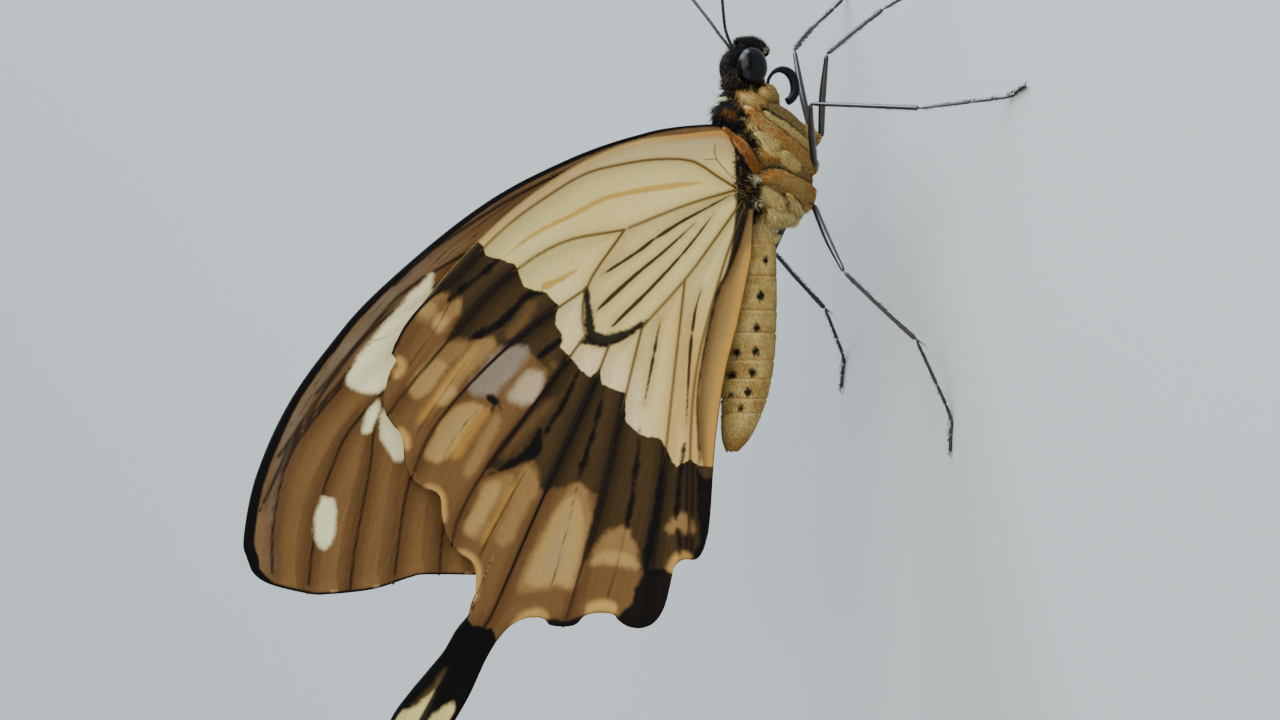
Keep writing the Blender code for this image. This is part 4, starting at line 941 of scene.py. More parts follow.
def spread(base, costa, margin, inner, rows):
    """A wing's plane grid: each point blends the costal and inner edges by its share v across, and the
    base and margin lines by its share u outward, less the blend of the four corners (a Coons patch)."""
    columns = len(margin)
    u = np.linspace(0.0, 1.0, rows)[:, None, None]
    v = (np.concatenate(([0.0], np.cumsum(np.linalg.norm(np.diff(margin, axis=0), axis=1)))))
    v = (v / v[-1])[None, :, None]
    base = respaced(curve(base, 200), v.ravel())
    edge_0, edge_1 = curve(costa, rows)[:, None], curve(inner, rows)[:, None]
    sheet = (1 - v) * edge_0 + v * edge_1 + (1 - u) * base[None] + u * margin[None]
    sheet -= ((1 - u) * ((1 - v) * base[0] + v * base[-1]) + u * ((1 - v) * margin[0] + v * margin[-1]))
    return sheet, np.broadcast_to(u, (rows, columns, 1)), np.broadcast_to(v, (rows, columns, 1))


def wing_plan(hind, sizes):
    """Flat points, faces and ray shares of one wing, the hindwing's with its tail as a second grid."""
    if not hind:
        margin = curve(FORE_MARGIN, int(sizes.wing_columns * 0.72))
        sheet, u, v = spread(FORE_BASE, FORE_COSTA, margin, FORE_INNER, sizes.wing_rows)
        rows, columns = sheet.shape[:2]
        return (sheet.reshape(-1, 2), grid_faces(rows, columns, False),
                np.concatenate((u, v), -1).reshape(-1, 2))
    margin, first, last = hind_margin(sizes.wing_columns)
    sheet, u, v = spread(HIND_BASE, HIND_COSTA, margin, HIND_INNER, sizes.wing_rows)
    rows, columns = sheet.shape[:2]
    points, rays = sheet.reshape(-1, 2), np.concatenate((u, v), -1).reshape(-1, 2)
    faces = grid_faces(rows, columns, False)
    count = last - first + 1
    tail_rows = 84
    left, right = curve(TAIL_LEFT, tail_rows)[1:], curve(TAIL_RIGHT, tail_rows)[1:]
    share = np.linspace(0.0, 1.0, count)[None, :, None]
    tail = left[:, None] * (1 - share) + right[:, None] * share
    index = len(points) + np.arange((tail_rows - 1) * count).reshape(tail_rows - 1, count)
    index = np.vstack((np.arange(first, last + 1) + (rows - 1) * columns, index))
    more = np.stack((index[:-1, :-1], index[:-1, 1:], index[1:, 1:], index[1:, :-1]), -1).reshape(-1, 4)
    tail_rays = np.stack(np.broadcast_arrays(1.0 + np.arange(1, tail_rows)[:, None] / tail_rows,
                                             rays[first, 1] + 0.1 * share[..., 0]), -1)
    return (np.vstack((points, tail.reshape(-1, 2))), np.vstack((faces, more)),
            np.vstack((rays, tail_rays.reshape(-1, 2))))


def rim_edges(faces):
    """Edges used by one face only, in the direction that face runs."""
    one, two = faces.ravel(), np.roll(faces, -1, axis=1).ravel()
    key, back = one * 10 ** 7 + two, two * 10 ** 7 + one
    lone = ~np.isin(key, back)
    return one[lone], two[lone]


def hind_fields(flat):
    """The hindwing's markings as distances, in millimetres, that the material turns into edges."""
    gap, place = nearest(flat, curve(FOLD_LINE, 60))
    band = depth_in(flat, BAND_START + BEYOND_WING, False)
    along, up = flat[:, 0], flat[:, 1]
    many = {
        "band": band,
        "outer": np.maximum(depth_in(flat, BAND_END + BEYOND_WING, False), depth_in(flat, PALE_PATCHES[10])),
        "brown_patch": deepest(flat, BROWN_STROKES, stroke_depth),
        "pale": deepest(flat, PALE_PATCHES, depth_in),
        "bright": deepest(flat, BRIGHT_PATCHES, depth_in),
        "lavender": depth_in(flat, LAVENDER_PATCH),
        "pink": depth_in(flat, PINK_PATCH),
        "black": np.maximum(deepest(flat, BLACK_PATCHES, depth_in),
                            deepest(flat, BLACK_STROKES, stroke_depth)),
        "warm": ease(-up, -7.6, -4.4) * ease(along, 5.0, 13.0),
        "blush": ease(band, -3.0, -0.8) * ease(up, 6.5, 8.5) * (1 - ease(up, 13.0, 16.0)),
        "near_root": 1 - ease(np.hypot(along + 4.4, up - 1.0), 1.5, 6.5),
        "fold_line": np.interp(place, (0.0, 0.16, 0.3, 1.0), (0.75, 0.42, 0.16, 0.08)) - gap,
        "inner_edge": 0.6 - nearest(flat, curve(HIND_INNER, 60))[0],
        "tail_sheen": stroke_depth(flat, TAIL_SHEEN),
        "fold_bright": stroke_depth(flat, FOLD_BRIGHT),
        "tail": depth_in(flat, TAIL_BLACK, False),
        "tail_cream": deepest(flat, TAIL_CREAM, depth_in),
        "ochre": deepest(flat, OCHRE_STROKES, stroke_depth),
        "cell": deepest(flat, CELL_STROKES, stroke_depth),
        "fold": deepest(flat, FOLD_STROKES, stroke_depth),
        "gold": deepest(flat, GOLD_STROKES, stroke_depth),
        "edge_light": deepest(flat, EDGE_STROKES, stroke_depth),
        "fold_band": depth_in(flat, INNER_FOLD, False),
        "costal": depth_in(flat, COSTAL_ZONE, False),
        "costal_edge": border_depth(flat, curve(HIND_COSTA, 60), 0.55, 0.3),
        "root_black_and_shadow": depth_in(flat, ROOT_BLACK_AND_SHADOW, False),
        "upper_black": np.maximum(along * 0.75 + up * 0.3 - 21.0, depth_in(flat, TAIL_BLACK, False)),
    }
    many["cell_halo"] = many["cell"] + 0.3
    return many


def fore_fields(flat):
    """The forewing's markings as distances in millimetres."""
    many = {
        "costal": border_depth(flat, curve(FORE_COSTA, 60), 1.6, 2.3),
        "cell_pale": depth_in(flat, FORE_CELL_PALE, False),
        "white": deepest(flat, FORE_WHITE, depth_in),
        "black": np.max((along_edge(flat, FORE_COSTA, (0.16, 0.36, 0.46, 0.62, 0.88)),
                         border_depth(flat, curve(FORE_MARGIN[:3], 20), 0.9, 0.22),
                         border_depth(flat, curve(FORE_MARGIN[2:], 60), 0.2, 0.1),
                         ), axis=0),
        "strip_veins": deepest(flat, FORE_STRIP_VEINS, stroke_depth),
        "smudge": stroke_depth(flat, SMUDGE),
        "fleck": deepest(flat, FORE_FLECKS, stroke_depth),
        "upper_black": np.maximum(flat[:, 0] - 24.0, 2.6 - nearest(flat, curve(FORE_COSTA, 60))[0]),
    }
    many["folds"] = deepest(flat, FORE_FOLD_SHADE, stroke_depth)
    return many


def make_wings(hind):
    """Both wings of a pair, and their veins as tapering tubes that stand proud of both faces."""
    sizes = bpy.context.scene.swallowtail_sizes
    root, side = (HIND_ROOT, HIND_SIDE) if hind else (FORE_ROOT, FORE_SIDE)
    name = "hindwing" if hind else "forewing"
    flat, faces, rays = wing_plan(hind, sizes)
    veins = {key: curve(line, max(8, int(run_length(line) / 0.35)))
             for key, line in (HIND_VEINS if hind else FORE_VEINS).items()}
    from_vein = np.min([nearest(flat, line[::3])[0] for key, line in veins.items()
                        if "humeral" not in key], axis=0)
    fields = hind_fields(flat) if hind else fore_fields(flat)
    outline_one, outline_two = rim_edges(faces)
    rim_line = flat[outline_one]
    rim = np.full(len(flat), 9.0)
    for start in range(0, len(flat), 4000):
        block = flat[start:start + 4000]
        gap = ((block[:, None] - rim_line[None]) ** 2).sum(-1).min(1)
        rim[start:start + 4000] = np.sqrt(gap)
    pleat = sizes.pleat / MM * (1 - np.exp(-(from_vein / 0.9) ** 2)) * ease(rim, 0.0, 1.2)
    thick = sizes.membrane / MM * (0.35 + 0.65 * ease(rim, 0.0, 0.5))
    count = len(flat)
    both = np.vstack((faces, faces[:, ::-1] + count,
                      np.column_stack((outline_two, outline_one, outline_one + count, outline_two + count))))
    attributes = {key: np.concatenate((values, values)) for key, values in fields.items()}
    attributes["from_vein"] = np.concatenate((from_vein, from_vein))
    attributes["rim"] = np.concatenate((rim, rim))
    attributes["inner_face"] = np.concatenate((np.zeros(count), np.ones(count)))
    scales, lines = wing_material(hind), vein_material(hind)
    left_side = LEFT_HIND_SIDE if hind else LEFT_FORE_SIDE
    for suffix, sides, tail, hand in (("_l", left_side, LEFT_TAIL_SIDE, 1.0), ("_r", side, TAIL_SIDE, -1.0)):

        def stand(plan, out):
            """Points of the wing's plan set up on one side, `out` beyond the middle of the membrane."""
            along, up = plan[:, 0], plan[:, 1]
            middle = wing_side(along, up, sides, tail)
            wave = 0.08 * np.sin(along * 0.33 + up * 0.21) * ease(up, 4.0, 16.0)
            tuck = LEFT_TUCK * (middle + wing_side(along, up, side)) * ease(up, 2.0, 12.0)
            drop = 0.0 if hand < 0 else tuck
            return np.column_stack((root[0] - along, hand * (middle + wave + out), root[1] + up - drop))

        points = np.vstack((stand(flat, thick / 2 - pleat), stand(flat, -thick / 2 - pleat)))
        add_mesh(name + suffix + "_sheet", points, faces_outward(points, both), scales, (name + suffix,),
                 name,
                 attributes, np.vstack((rays, rays)), uv_name="Rays")
        tubes, darkness, whiteness = [], [], []
        for key, line in veins.items():
            share = np.linspace(0.0, 1.0, len(line))
            trunk = 1.0 if key in ("Sc", "radius", "cubitus", "subcosta", "cell front", "cell end") else 0.85
            width = sizes.vein_width / MM / 2 * trunk * (1.0 - (0.5 if hind else 0.45) * share)
            dark, white = np.full(len(line), 0.85), np.zeros(len(line))
            if hind:
                dark = ease(depth_in(line, BAND_START + BEYOND_WING, False), -0.5, 0.5)
                width *= 0.75 + 0.35 * dark
                width *= 0.4 if key.startswith("humeral") else 1.0
            else:
                white = ease(deepest(line, FORE_WHITE, depth_in), -0.1, 0.1)
                width *= 0.9 - 0.6 * white
            tubes.append(tube(stand(line, 0.0), width, 8, 0.75, (0.0, 1.0, 0.0)))
            for kept, shares in ((darkness, dark), (whiteness, white)):
                kept.append(np.repeat(np.concatenate(([shares[0]], shares, [shares[-1]])), 8))
        line_points, line_faces = joined(tubes)
        add_mesh(name + suffix + "_veins", line_points, faces_outward(line_points, line_faces), lines, (),
                 name,
                 {"dark": np.concatenate(darkness), "white": np.concatenate(whiteness)})


def faces_outward(points, faces):
    """The faces as given, or all turned over, so that the closed shape's volume is positive."""
    a, b, c, d = (points[faces[:, k]] for k in range(4))
    volume = (np.einsum("ij,ij->i", a, np.cross(b, c)) + np.einsum("ij,ij->i", a, np.cross(c, d))).sum()
    return faces if volume > 0 else faces[:, ::-1]


# Body and fur
def body_marks(points):
    """Markings at points of the body, as distances inside each kind of mark on its side view, and how
    far the lobes rise: each lobe is domed as the square root of 1 - (distance / half width) squared."""
    place = np.column_stack((points[:, 0] + CENTRE_X, points[:, 2]))
    marks = {key: np.full(len(place), -2.0) for key in ("cream", "ochre", "tan", "orange", "white")}
    # The highest lobe dome over each point is kept for the shade painted where it is low, between and round
    # the lobes
    rise, dome_for_painted_shade = np.zeros(len(place)), np.full(len(place), 0.1)
    on_thorax = ease(place[:, 0], 4.7, 5.5)
    for kind, start, end, height, line in LOBES:
        gap, along = nearest(place, curve(line, 4 * len(line)))
        half = start + (end - start) * along
        inside = np.clip(1 - gap / half, 0.0, 1.0)
        dome = np.sqrt(1 - (1 - inside) ** 2)
        marks[kind] = np.maximum(marks[kind], half - gap)
        rise = np.maximum(rise, height * 0.8 * dome)
        dome_for_painted_shade = np.maximum(dome_for_painted_shade, dome)
    dark = np.maximum(deepest(place, DARK_STROKES, stroke_depth), depth_in(place, BLACK_BACK, False))
    spots = np.max([radius - np.hypot((place[:, 0] - x) * 0.85, place[:, 1] - z)
                    for x, z, radius in ABDOMEN_SPOTS], axis=0)
    marks["black"] = np.maximum(dark, spots)
    pale = deepest(place, HEAD_MARKS, stroke_depth) - np.where(np.abs(points[:, 1]) > 0.75, 0.0, 1.0)
    marks["orange"] = np.maximum(marks["orange"], pale)
    rings = 0.07 - np.abs(place[:, :1] - np.array(ABDOMEN_RINGS)).min(1)
    marks["brown"] = np.maximum(np.clip((-8.9 - place[:, 0]) / 1.6 - 0.3, -2.0, 1.0), np.clip(rings * 8.0,
                                                                                              -2.0, 0.5))
    # Behind the thorax the dome is set high, so no crease shade is painted there
    marks["dome_for_painted_shade"] = np.where(place[:, 0] < 6.6, 0.85, dome_for_painted_shade)
    marks["on_abdomen"] = np.where(place[:, 0] < 6.0, 1.0, -1.0)
    rise -= 0.12 * np.clip(dark / 0.2, 0.0, 1.0) * (place[:, 1] < 13.0)
    return marks, rise * on_thorax


def body_grid(rows=330, columns=128):
    """The whole body as one surface: middle height and half sizes run smoothly along X, each ring is
    (half width x cos turn, middle + half height x sin turn), drawn in at the neck and waist,
    with the head's top lowered by twice HEAD_DROP."""
    line = curve(HEAD + THORAX + ABDOMEN, rows)
    x = line[:, 0]
    inset = 0.22 * ease(x, -1.5, -0.5) + 0.12 * ease(x, 8.4, 9.6) + 0.05
    share = np.linspace(0.0, 1.0, rows)
    ends = np.sqrt(np.clip(np.minimum(share, 1 - share) / 0.006, 0.0004, 1.0))
    drop = HEAD_DROP * ease(x, 8.4, 9.2)
    half_height, half_width = (line[:, 2] - inset - drop) * ends, (line[:, 3] - inset) * ends
    ring = ABDOMEN_RINGS
    place = x + CENTRE_X
    groove = np.exp(-((place[:, None] - np.array(ring)) / 0.1) ** 2).sum(1)
    swell = 1 - 0.035 * groove
    half_height, half_width = half_height * swell, half_width * swell
    turns = np.linspace(0.0, 2 * math.pi, columns, endpoint=False)
    points = np.stack((np.broadcast_to(x[:, None], (rows, columns)), half_width[:, None] * np.cos(turns),
                       (line[:, 1] - drop)[:, None] + half_height[:, None] * np.sin(turns)), -1)
    return points, share, turns / (2 * math.pi)


def grid_normals(points):
    """Outward normal at each point: the cross product of the steps along and round the grid."""
    along = np.gradient(points, axis=0)
    round_it = (np.roll(points, -1, axis=1) - np.roll(points, 1, axis=1)) / 2
    normal = np.cross(round_it, along)
    normal /= np.linalg.norm(normal, axis=2)[..., None] + 1e-12
    centre = points.mean(axis=1, keepdims=True)
    if ((points - centre) * normal).sum() < 0:
        normal = -normal
    return normal


def sculpted_body():
    """The body's grid with the thorax lobes raised along its normals, and the marks at its points."""
    points, share, turn = body_grid()
    normal = grid_normals(points)
    marks, rise = body_marks(points.reshape(-1, 3))
    side = np.clip(np.abs(normal[..., 1]) * 1.4 + np.clip(-normal[..., 2], 0.0, 1.0), 0.0, 1.0)
    points = points + normal * (rise.reshape(points.shape[:2]) * side)[..., None]
    return points, grid_normals(points), share, turn, marks


def tufts(name, roots, normal, lie, sizes, uv, marks, rng, material, spread_out=0.25):
    """Hairs as closed three-sided spikes: a root ring, a middle ring and a point. The middle lies half
    the length along (lie + lift x normal), the point the whole length along a direction with less
    lift, so the hair bends back to the body. Sizes are length, width, lift and bend."""
    length, width, lift, bend = sizes
    count = len(roots)
    noise = rng.normal(size=(count, 3)) * spread_out
    way = lie + noise
    way -= (way * normal).sum(1)[:, None] * normal
    way /= np.linalg.norm(way, axis=1)[:, None] + 1e-9
    long = (length * rng.uniform(0.7, 1.3, count))[:, None]
    rise = (lift * rng.uniform(0.6, 1.4, count))[:, None]
    first = way + normal * rise
    first /= np.linalg.norm(first, axis=1)[:, None]
    second = way + normal * rise * (1 - np.asarray(bend).reshape(-1, 1))
    second /= np.linalg.norm(second, axis=1)[:, None]
    across = np.cross(first, normal)
    across /= np.linalg.norm(across, axis=1)[:, None] + 1e-9
    over = np.cross(across, first)
    wide = (width * rng.uniform(0.8, 1.2, count))[:, None]
    low = roots - normal * 0.05
    mid = roots + first * long * 0.5
    tip = mid + second * long * 0.5
    corner = np.radians((90.0, 210.0, 330.0))
    rings = [centre[:, None] + wide[:, None] * size * (np.cos(corner)[None, :, None] * across[:, None]
                                                       + np.sin(corner)[None, :, None] * over[:, None] * 0.6)
             for centre, size in ((low, 0.5), (mid, 0.42))]
    points = np.concatenate((rings[0], rings[1], tip[:, None]), axis=1)
    pattern = np.array([(0, 2, 1), (0, 1, 4), (0, 4, 3), (1, 2, 5), (1, 5, 4), (2, 0, 3), (2, 3, 5),
                        (3, 4, 6), (4, 5, 6), (5, 3, 6)])
    faces = (np.arange(count)[:, None, None] * 7 + pattern[None]).reshape(-1, 3)
    patch = np.array([(0, 0), (1, 0), (0.5, 1), (0.2, 0.4), (0.8, 0.4), (0.5, 0.8), (0.5, 0.5)]) * 0.003
    spots = uv[:, None] + patch[None]
    attributes = {key: np.repeat(values, 7) for key, values in marks.items()}
    # tip runs from 0 at the root to 1 at the point, for the shade the fur's material paints toward the root
    attributes["tip"] = np.tile((0.0, 0.0, 0.0, 0.55, 0.55, 0.55, 1.0), count)
    attributes["tone"] = np.repeat(rng.uniform(0.0, 1.0, count), 7)
    first_face = points[0]
    facing = np.cross(first_face[1] - first_face[0], first_face[4] - first_face[0])
    if facing @ (first_face[0] + first_face[1] - 2 * first_face[:3].mean(0)) < 0:
        faces = faces[:, ::-1]
    return add_mesh(name, points.reshape(-1, 3), faces, material, (), "thorax", attributes,
                    spots.reshape(-1, 2), smooth=True)


def roots_on(body, weight, count, rng):
    """Roots spread over the body by area times a weight: a cell is drawn, then a place in it."""
    points, normal, share, _, _ = body
    columns = points.shape[1]
    along = np.linalg.norm(np.diff(points, axis=0), axis=2)
    round_it = np.linalg.norm(np.roll(points, -1, axis=1) - points, axis=2)[:-1]
    chance = along * round_it * np.clip(weight, 0.0, None)[:-1]
    chance = chance.ravel() / chance.sum()
    cell = rng.choice(len(chance), size=count, p=chance)
    row, column = np.divmod(cell, columns)
    s, t = rng.uniform(size=count), rng.uniform(size=count)
    after = (column + 1) % columns

    def blend(grid):
        return ((grid[row, column] * (1 - s)[:, None] + grid[row + 1, column] * s[:, None]) * (1 - t)[:,
                                                                                                      None]
                + (grid[row, after] * (1 - s)[:, None] + grid[row + 1, after] * s[:, None]) * t[:, None])

    place, out = blend(points), blend(normal)
    out /= np.linalg.norm(out, axis=1)[:, None] + 1e-9
    uv = np.column_stack((share[row] + s * (share[1] - share[0]), (column + t) / columns)) * 0.99
    return place, out, uv


def roots_along(path, radii, count, rng):
    """Roots spread over a tube: a place along its path plus the radius times a turn round it."""
    heading = np.gradient(path, axis=0)
    heading /= np.linalg.norm(heading, axis=1)[:, None]
    side = np.cross(heading, (0.0, 0.31, 0.95))
    side /= np.linalg.norm(side, axis=1)[:, None]
    over = np.cross(side, heading)
    at = rng.uniform(0.0, len(path) - 1.001, count)
    row = at.astype(int)
    part = (at - row)[:, None]
    turn = rng.uniform(0, 2 * math.pi, count)
    out = np.cos(turn)[:, None] * side[row] + np.sin(turn)[:, None] * over[row]
    place = path[row] * (1 - part) + path[row + 1] * part + out * np.asarray(radii)[row][:, None]
    return place, out, heading[row], np.column_stack((at / len(path), turn / (2 * math.pi))) * 0.99


def plain_marks(count, **given):
    """Marks that are all absent, but for those given."""
    marks = {key: np.full(count, -1.0) for key in MARKS}
    # A dome high enough that no painted crease shade is put on these parts
    marks["dome_for_painted_shade"] = np.full(count, 0.8)
    marks.update({key: np.broadcast_to(value, (count,)).astype(float) for key, value in given.items()})
    return marks


def lie_back(place, down=0.0):
    """Hair lies toward the tail, with a share of down along the sides."""
    way = np.zeros_like(place)
    way[:, 0] = -1.0
    way[:, 2] = -down
    return way


# Operators
class MakeWings(Operator):
    """Four wings with scaled faces, and their veins"""
    bl_idname = "swallowtail.wings"
    bl_label = "Wings"

    def execute(self, context):
        make_wings(True)
        make_wings(False)
        return {"FINISHED"}


class MakeBody(Operator):
    """Head, thorax and abdomen as one skin"""
    bl_idname = "swallowtail.body"
    bl_label = "Body"

    def execute(self, context):
        points, _, share, turn, marks = sculpted_body()
        rows, columns = points.shape[:2]
        faces = faces_outward(points.reshape(-1, 3), grid_faces(rows, columns, True))
        uv = np.stack(np.meshgrid(share, turn, indexing="ij"), -1).reshape(-1, 2)
        add_mesh("body_skin", points.reshape(-1, 3), faces, skin_material(), ("head", "thorax", "abdomen"),
                 "thorax", marks, uv)
        rng = np.random.default_rng(SEED + 3)
        finish, fur = skin_material(), fur_material()
        for name, joints in LEGS.items():
            hand = 1.0 if name.endswith("_l") else -1.0
            hip, knee = (np.array(point) * (1.0, hand, 1.0) for point in joints[:2])
            way = (knee - hip) / np.linalg.norm(knee - hip)
            path = curve((hip * (1.0, 0.5, 1.0) + (0.25, 0.0, 2.4), hip + (0.1, 0.0, 0.9), hip + (0.0, 0.0,
                                                                                                  0.2),
                          hip + way * 0.12), 40)
            share, dome = domed(40, 0.1, 0.16)
            radii = (0.55 - 0.3 * ease(share, 0.15, 0.9)) * dome
            points, faces = tube(path, radii, 24, 1.0, (0.0, 0.31, 0.95))
            marks = plain_marks(len(points), tan=0.4, black=np.repeat(
                np.concatenate(([-1], ease(share, 0.6, 0.75) - 0.5, [0.5])), 24))
            uv = np.column_stack((np.repeat(np.linspace(0, 1, 42), 24), np.tile(np.linspace(0, 1, 24), 42)))
            add_mesh("coxa_" + name, points, faces_outward(points, faces), finish, (), "thorax", marks, uv)
            place, out, heading, uv = roots_along(path[:34], radii[:34] * 0.95, 900, rng)
            tufts("coat_coxa_" + name, place, out, heading, (0.4, 0.045, 0.35, 0.5), uv,
                  plain_marks(900, ochre=ease(rng.uniform(size=900), 0.3, 0.5) - 0.5), rng, fur)
        return {"FINISHED"}


class MakeFur(Operator):
    """Hair of the head, back, sides and belly, and the scales of the abdomen"""
    bl_idname = "swallowtail.fur"
    bl_label = "Fur"

    def execute(self, context):
        sizes = context.scene.swallowtail_sizes
        rng = np.random.default_rng(SEED)
        body = sculpted_body()
        points, normal, _, _, marks = body
        x = points[..., 0] + CENTRE_X
        shape = x.shape
        black = marks["black"].reshape(shape)
        fur = fur_material()
        thorax = ease(x, 6.3, 7.0) * (1 - ease(x, 16.9, 17.4))
        above = ease(normal[..., 2], 0.1, 0.5)
        eye_gap = np.hypot((x - EYE_CENTRE[0] - CENTRE_X) / 1.35, (points[..., 2] - EYE_CENTRE[2]) / 1.1)
        off_eye = ease(eye_gap, 0.75, 0.95)
        low_rear = ease(x, 5.6, 6.2) * (1 - ease(x, 7.9, 8.4)) * (1 - above)
        collar = ease(x, 16.6, 16.9) * (1 - ease(x, 17.7, 18.0)) * above
        on_head = ease(x, 17.0, 17.3) * (x < 19.75) * off_eye
        hinge = np.exp(-((x - 10.6) / 2.6) ** 2) * ease(points[..., 2], 12.7, 13.3) * thorax
        long = sizes.back_hair
        short = sizes.side_hair
        # Name, where it grows, how many hairs, length, width, lift, bend, share of the lie that runs down
        dots = ease(marks["white"].reshape(shape), -0.45, -0.2) * (x > 11.0)
        sets = (
            ("coat_back", thorax * above * ease(black, -0.1, 0.1) * (1 - dots), 11000, long, 0.05, 0.8,
             0.35, 0.0),
            ("coat_back_spikes", thorax * above * ease(black, 0.0, 0.2) * (1 - dots), 700, long * 1.4, 0.07,
             1.5, 0.2, 0.0),
            ("coat_side_r", thorax * (points[..., 1] < 0) * (1 - 0.7 * above), 19000, short,
             0.05, 0.34, 0.6, 0.6),
            ("coat_side_l", thorax * (points[..., 1] >= 0) * (1 - 0.7 * above), 19000, short,
             0.05, 0.34, 0.6, 0.6),
            ("coat_dots", ease(marks["white"].reshape(shape), -0.02, 0.02) * (x > 7.0), 900, short, 0.09,
             0.9, 0.3, 0.0),
            ("coat_hinge", hinge, 2600, short * 1.5, 0.05, 0.7, 0.4, 1.2),
            ("coat_rear", low_rear, 3600, short * 1.7, 0.05, 0.3, 0.6, 0.3),
            ("coat_abdomen", (1 - ease(x, 6.0, 7.0)) * (x > -10.7), 19000, sizes.belly_scales, 0.075, 0.12,
             0.6, 0.0),
            ("coat_head", on_head, 9500, short * 0.8, 0.045, 0.7, 0.3, 0.0),
            ("coat_head_spikes", on_head * above * ease(black, 0.2, 0.5), 420, short * 1.9, 0.05,
             1.3, 0.2, 0.0),
            ("coat_collar", collar, 1400, long * 1.1, 0.055, 1.6, 0.25, 0.0),
        )
        for name, weight, count, length, width, lift, bend, down in sets:
            place, out, uv = roots_on(body, weight, count, rng)
            if name.startswith("coat_head"):
                lie = out * (0.0, 1.0, 0.6) + (0.55, 0.0, 0.35)
            else:
                lie = lie_back(place, down)
            here, _ = body_marks(place)
            if name == "coat_collar":
                here = plain_marks(count, brown=0.8, black=rng.uniform(-0.05, 1.4, count))
            if name in ("coat_hinge", "coat_back_spikes"):
                here = plain_marks(count, black=1.0, white=np.where(np.hypot(
                    place[:, 0] + CENTRE_X - 8.1, place[:, 2] - 12.75) < 0.3, 0.5, -1.0))
            if name == "coat_rear":
                here = plain_marks(count, cream=1.0, white=rng.uniform(-1.0, 0.2, count))
            tufts(name, place, out, lie, (length / MM, width, lift, bend), uv, here, rng, fur)
        return {"FINISHED"}


class MakeHinges(Operator):
    """Short-haired plates over the wing roots, and the tufts that cover the joints"""
    bl_idname = "swallowtail.hinges"
    bl_label = "Wing hinges"

    def execute(self, context):
        rng = np.random.default_rng(SEED + 4)
        finish, fur = skin_material(), fur_material()
        share, dome = domed(70, 0.2, 0.12)
        path = curve(SCLERITE, 70)
        swell = 0.12 + 0.52 * ease(share, 0.1, 0.6) - 0.16 * ease(share, 0.75, 1.0)
        points, faces = tube(path, swell * dome, 28, 0.45, (0.0, 1.0, 0.0))
        faces = faces_outward(points, faces)

        def on_plate(place):
            """Orange along the middle of the plate, black where the distance from its path grows."""
            gap = nearest(np.abs(place[:, (0, 2)]), path[:, (0, 2)])[0]
            return plain_marks(len(place), orange=0.42 - gap, black=1.0, tone=0.4)

        marks = on_plate(points)
        add_mesh("hinge_plate_l", points, faces, finish, (), "thorax", marks)
        add_mesh("hinge_plate_r", *mirrored(points, faces), finish, (), "thorax", marks)
        place, out, heading, uv = roots_along(path, 0.1 + 0.3 * ease(share, 0.1, 0.6) * dome, 1800, rng)
        for suffix, hand in (("l", 1.0), ("r", -1.0)):
            mirror = np.array((1.0, hand, 1.0))
            tufts("coat_plate_" + suffix, place * mirror, out * mirror, heading * mirror,
                  (0.3, 0.045, 0.35, 0.4),
                  uv, on_plate(place), rng, fur)
        count = 1500
        spots = rng.uniform((6.8, 12.6), (13.8, 15.0), (9000, 2))
        spots = spots[(depth_in(spots, ROOT_HAIR) > 0.0)][:count]
        away = nearest(spots, np.array(SCLERITE)[:, (0, 2)] + (CENTRE_X, 0.0))[0]
        spots = spots[away > 0.42]
        count = len(spots)
        silver = np.minimum(np.hypot(spots[:, 0] - 10.0, spots[:, 1] - 13.2),
                            np.hypot(spots[:, 0] - 8.1, spots[:, 1] - 12.8))
        pale = ease(0.3 + rng.uniform(size=count) * 0.12 - silver, -0.03, 0.03) - 0.5
        for suffix, hand in (("l", 1.0), ("r", -1.0)):
            place = np.column_stack((spots[:, 0] - CENTRE_X, np.full(count, 2.42 * hand), spots[:, 1]))
            out = np.broadcast_to((0.0, hand, 0.15), (count, 3))
            lie = np.column_stack((np.full(count, -0.6), np.zeros(count), rng.normal(size=count) * 0.7
                                   - 0.3))
            uv = (spots - (6.8, 12.6)) / 7.5
            tufts("coat_hinge_" + suffix, place, out, lie, (0.6, 0.05, 0.6, 0.4), uv,
                  plain_marks(count, brown=0.3, black=rng.uniform(-0.2, 1.5, count), white=pale), rng, fur,
                  0.5)
        return {"FINISHED"}


class MakeEyes(Operator):
    """Two glossy compound eyes"""
    bl_idname = "swallowtail.eyes"
    bl_label = "Eyes"

    def execute(self, context):
        finish = eye_material()
        polar = np.linspace(0.004, math.pi - 0.004, 48)[:, None]
        turns = np.linspace(0.0, 2 * math.pi, 72, endpoint=False)[None]
        egg = 1.0 + 0.05 * np.cos(turns)
        points = np.stack((EYE_CENTRE[0] + EYE_HALF[0] * np.sin(polar) * np.cos(turns) * egg,
                           EYE_CENTRE[1] + EYE_HALF[1] * np.cos(polar) * np.ones_like(turns),
                           EYE_CENTRE[2] + EYE_HALF[2] * np.sin(polar) * np.sin(turns)), -1).reshape(-1, 3)
        faces = faces_outward(points - EYE_CENTRE, grid_faces(48, 72, True))
        add_mesh("eye_dome_l", points, faces, finish, ("eye_l",), "eye")
        add_mesh("eye_dome_r", *mirrored(points, faces), finish, ("eye_r",), "eye")
        return {"FINISHED"}


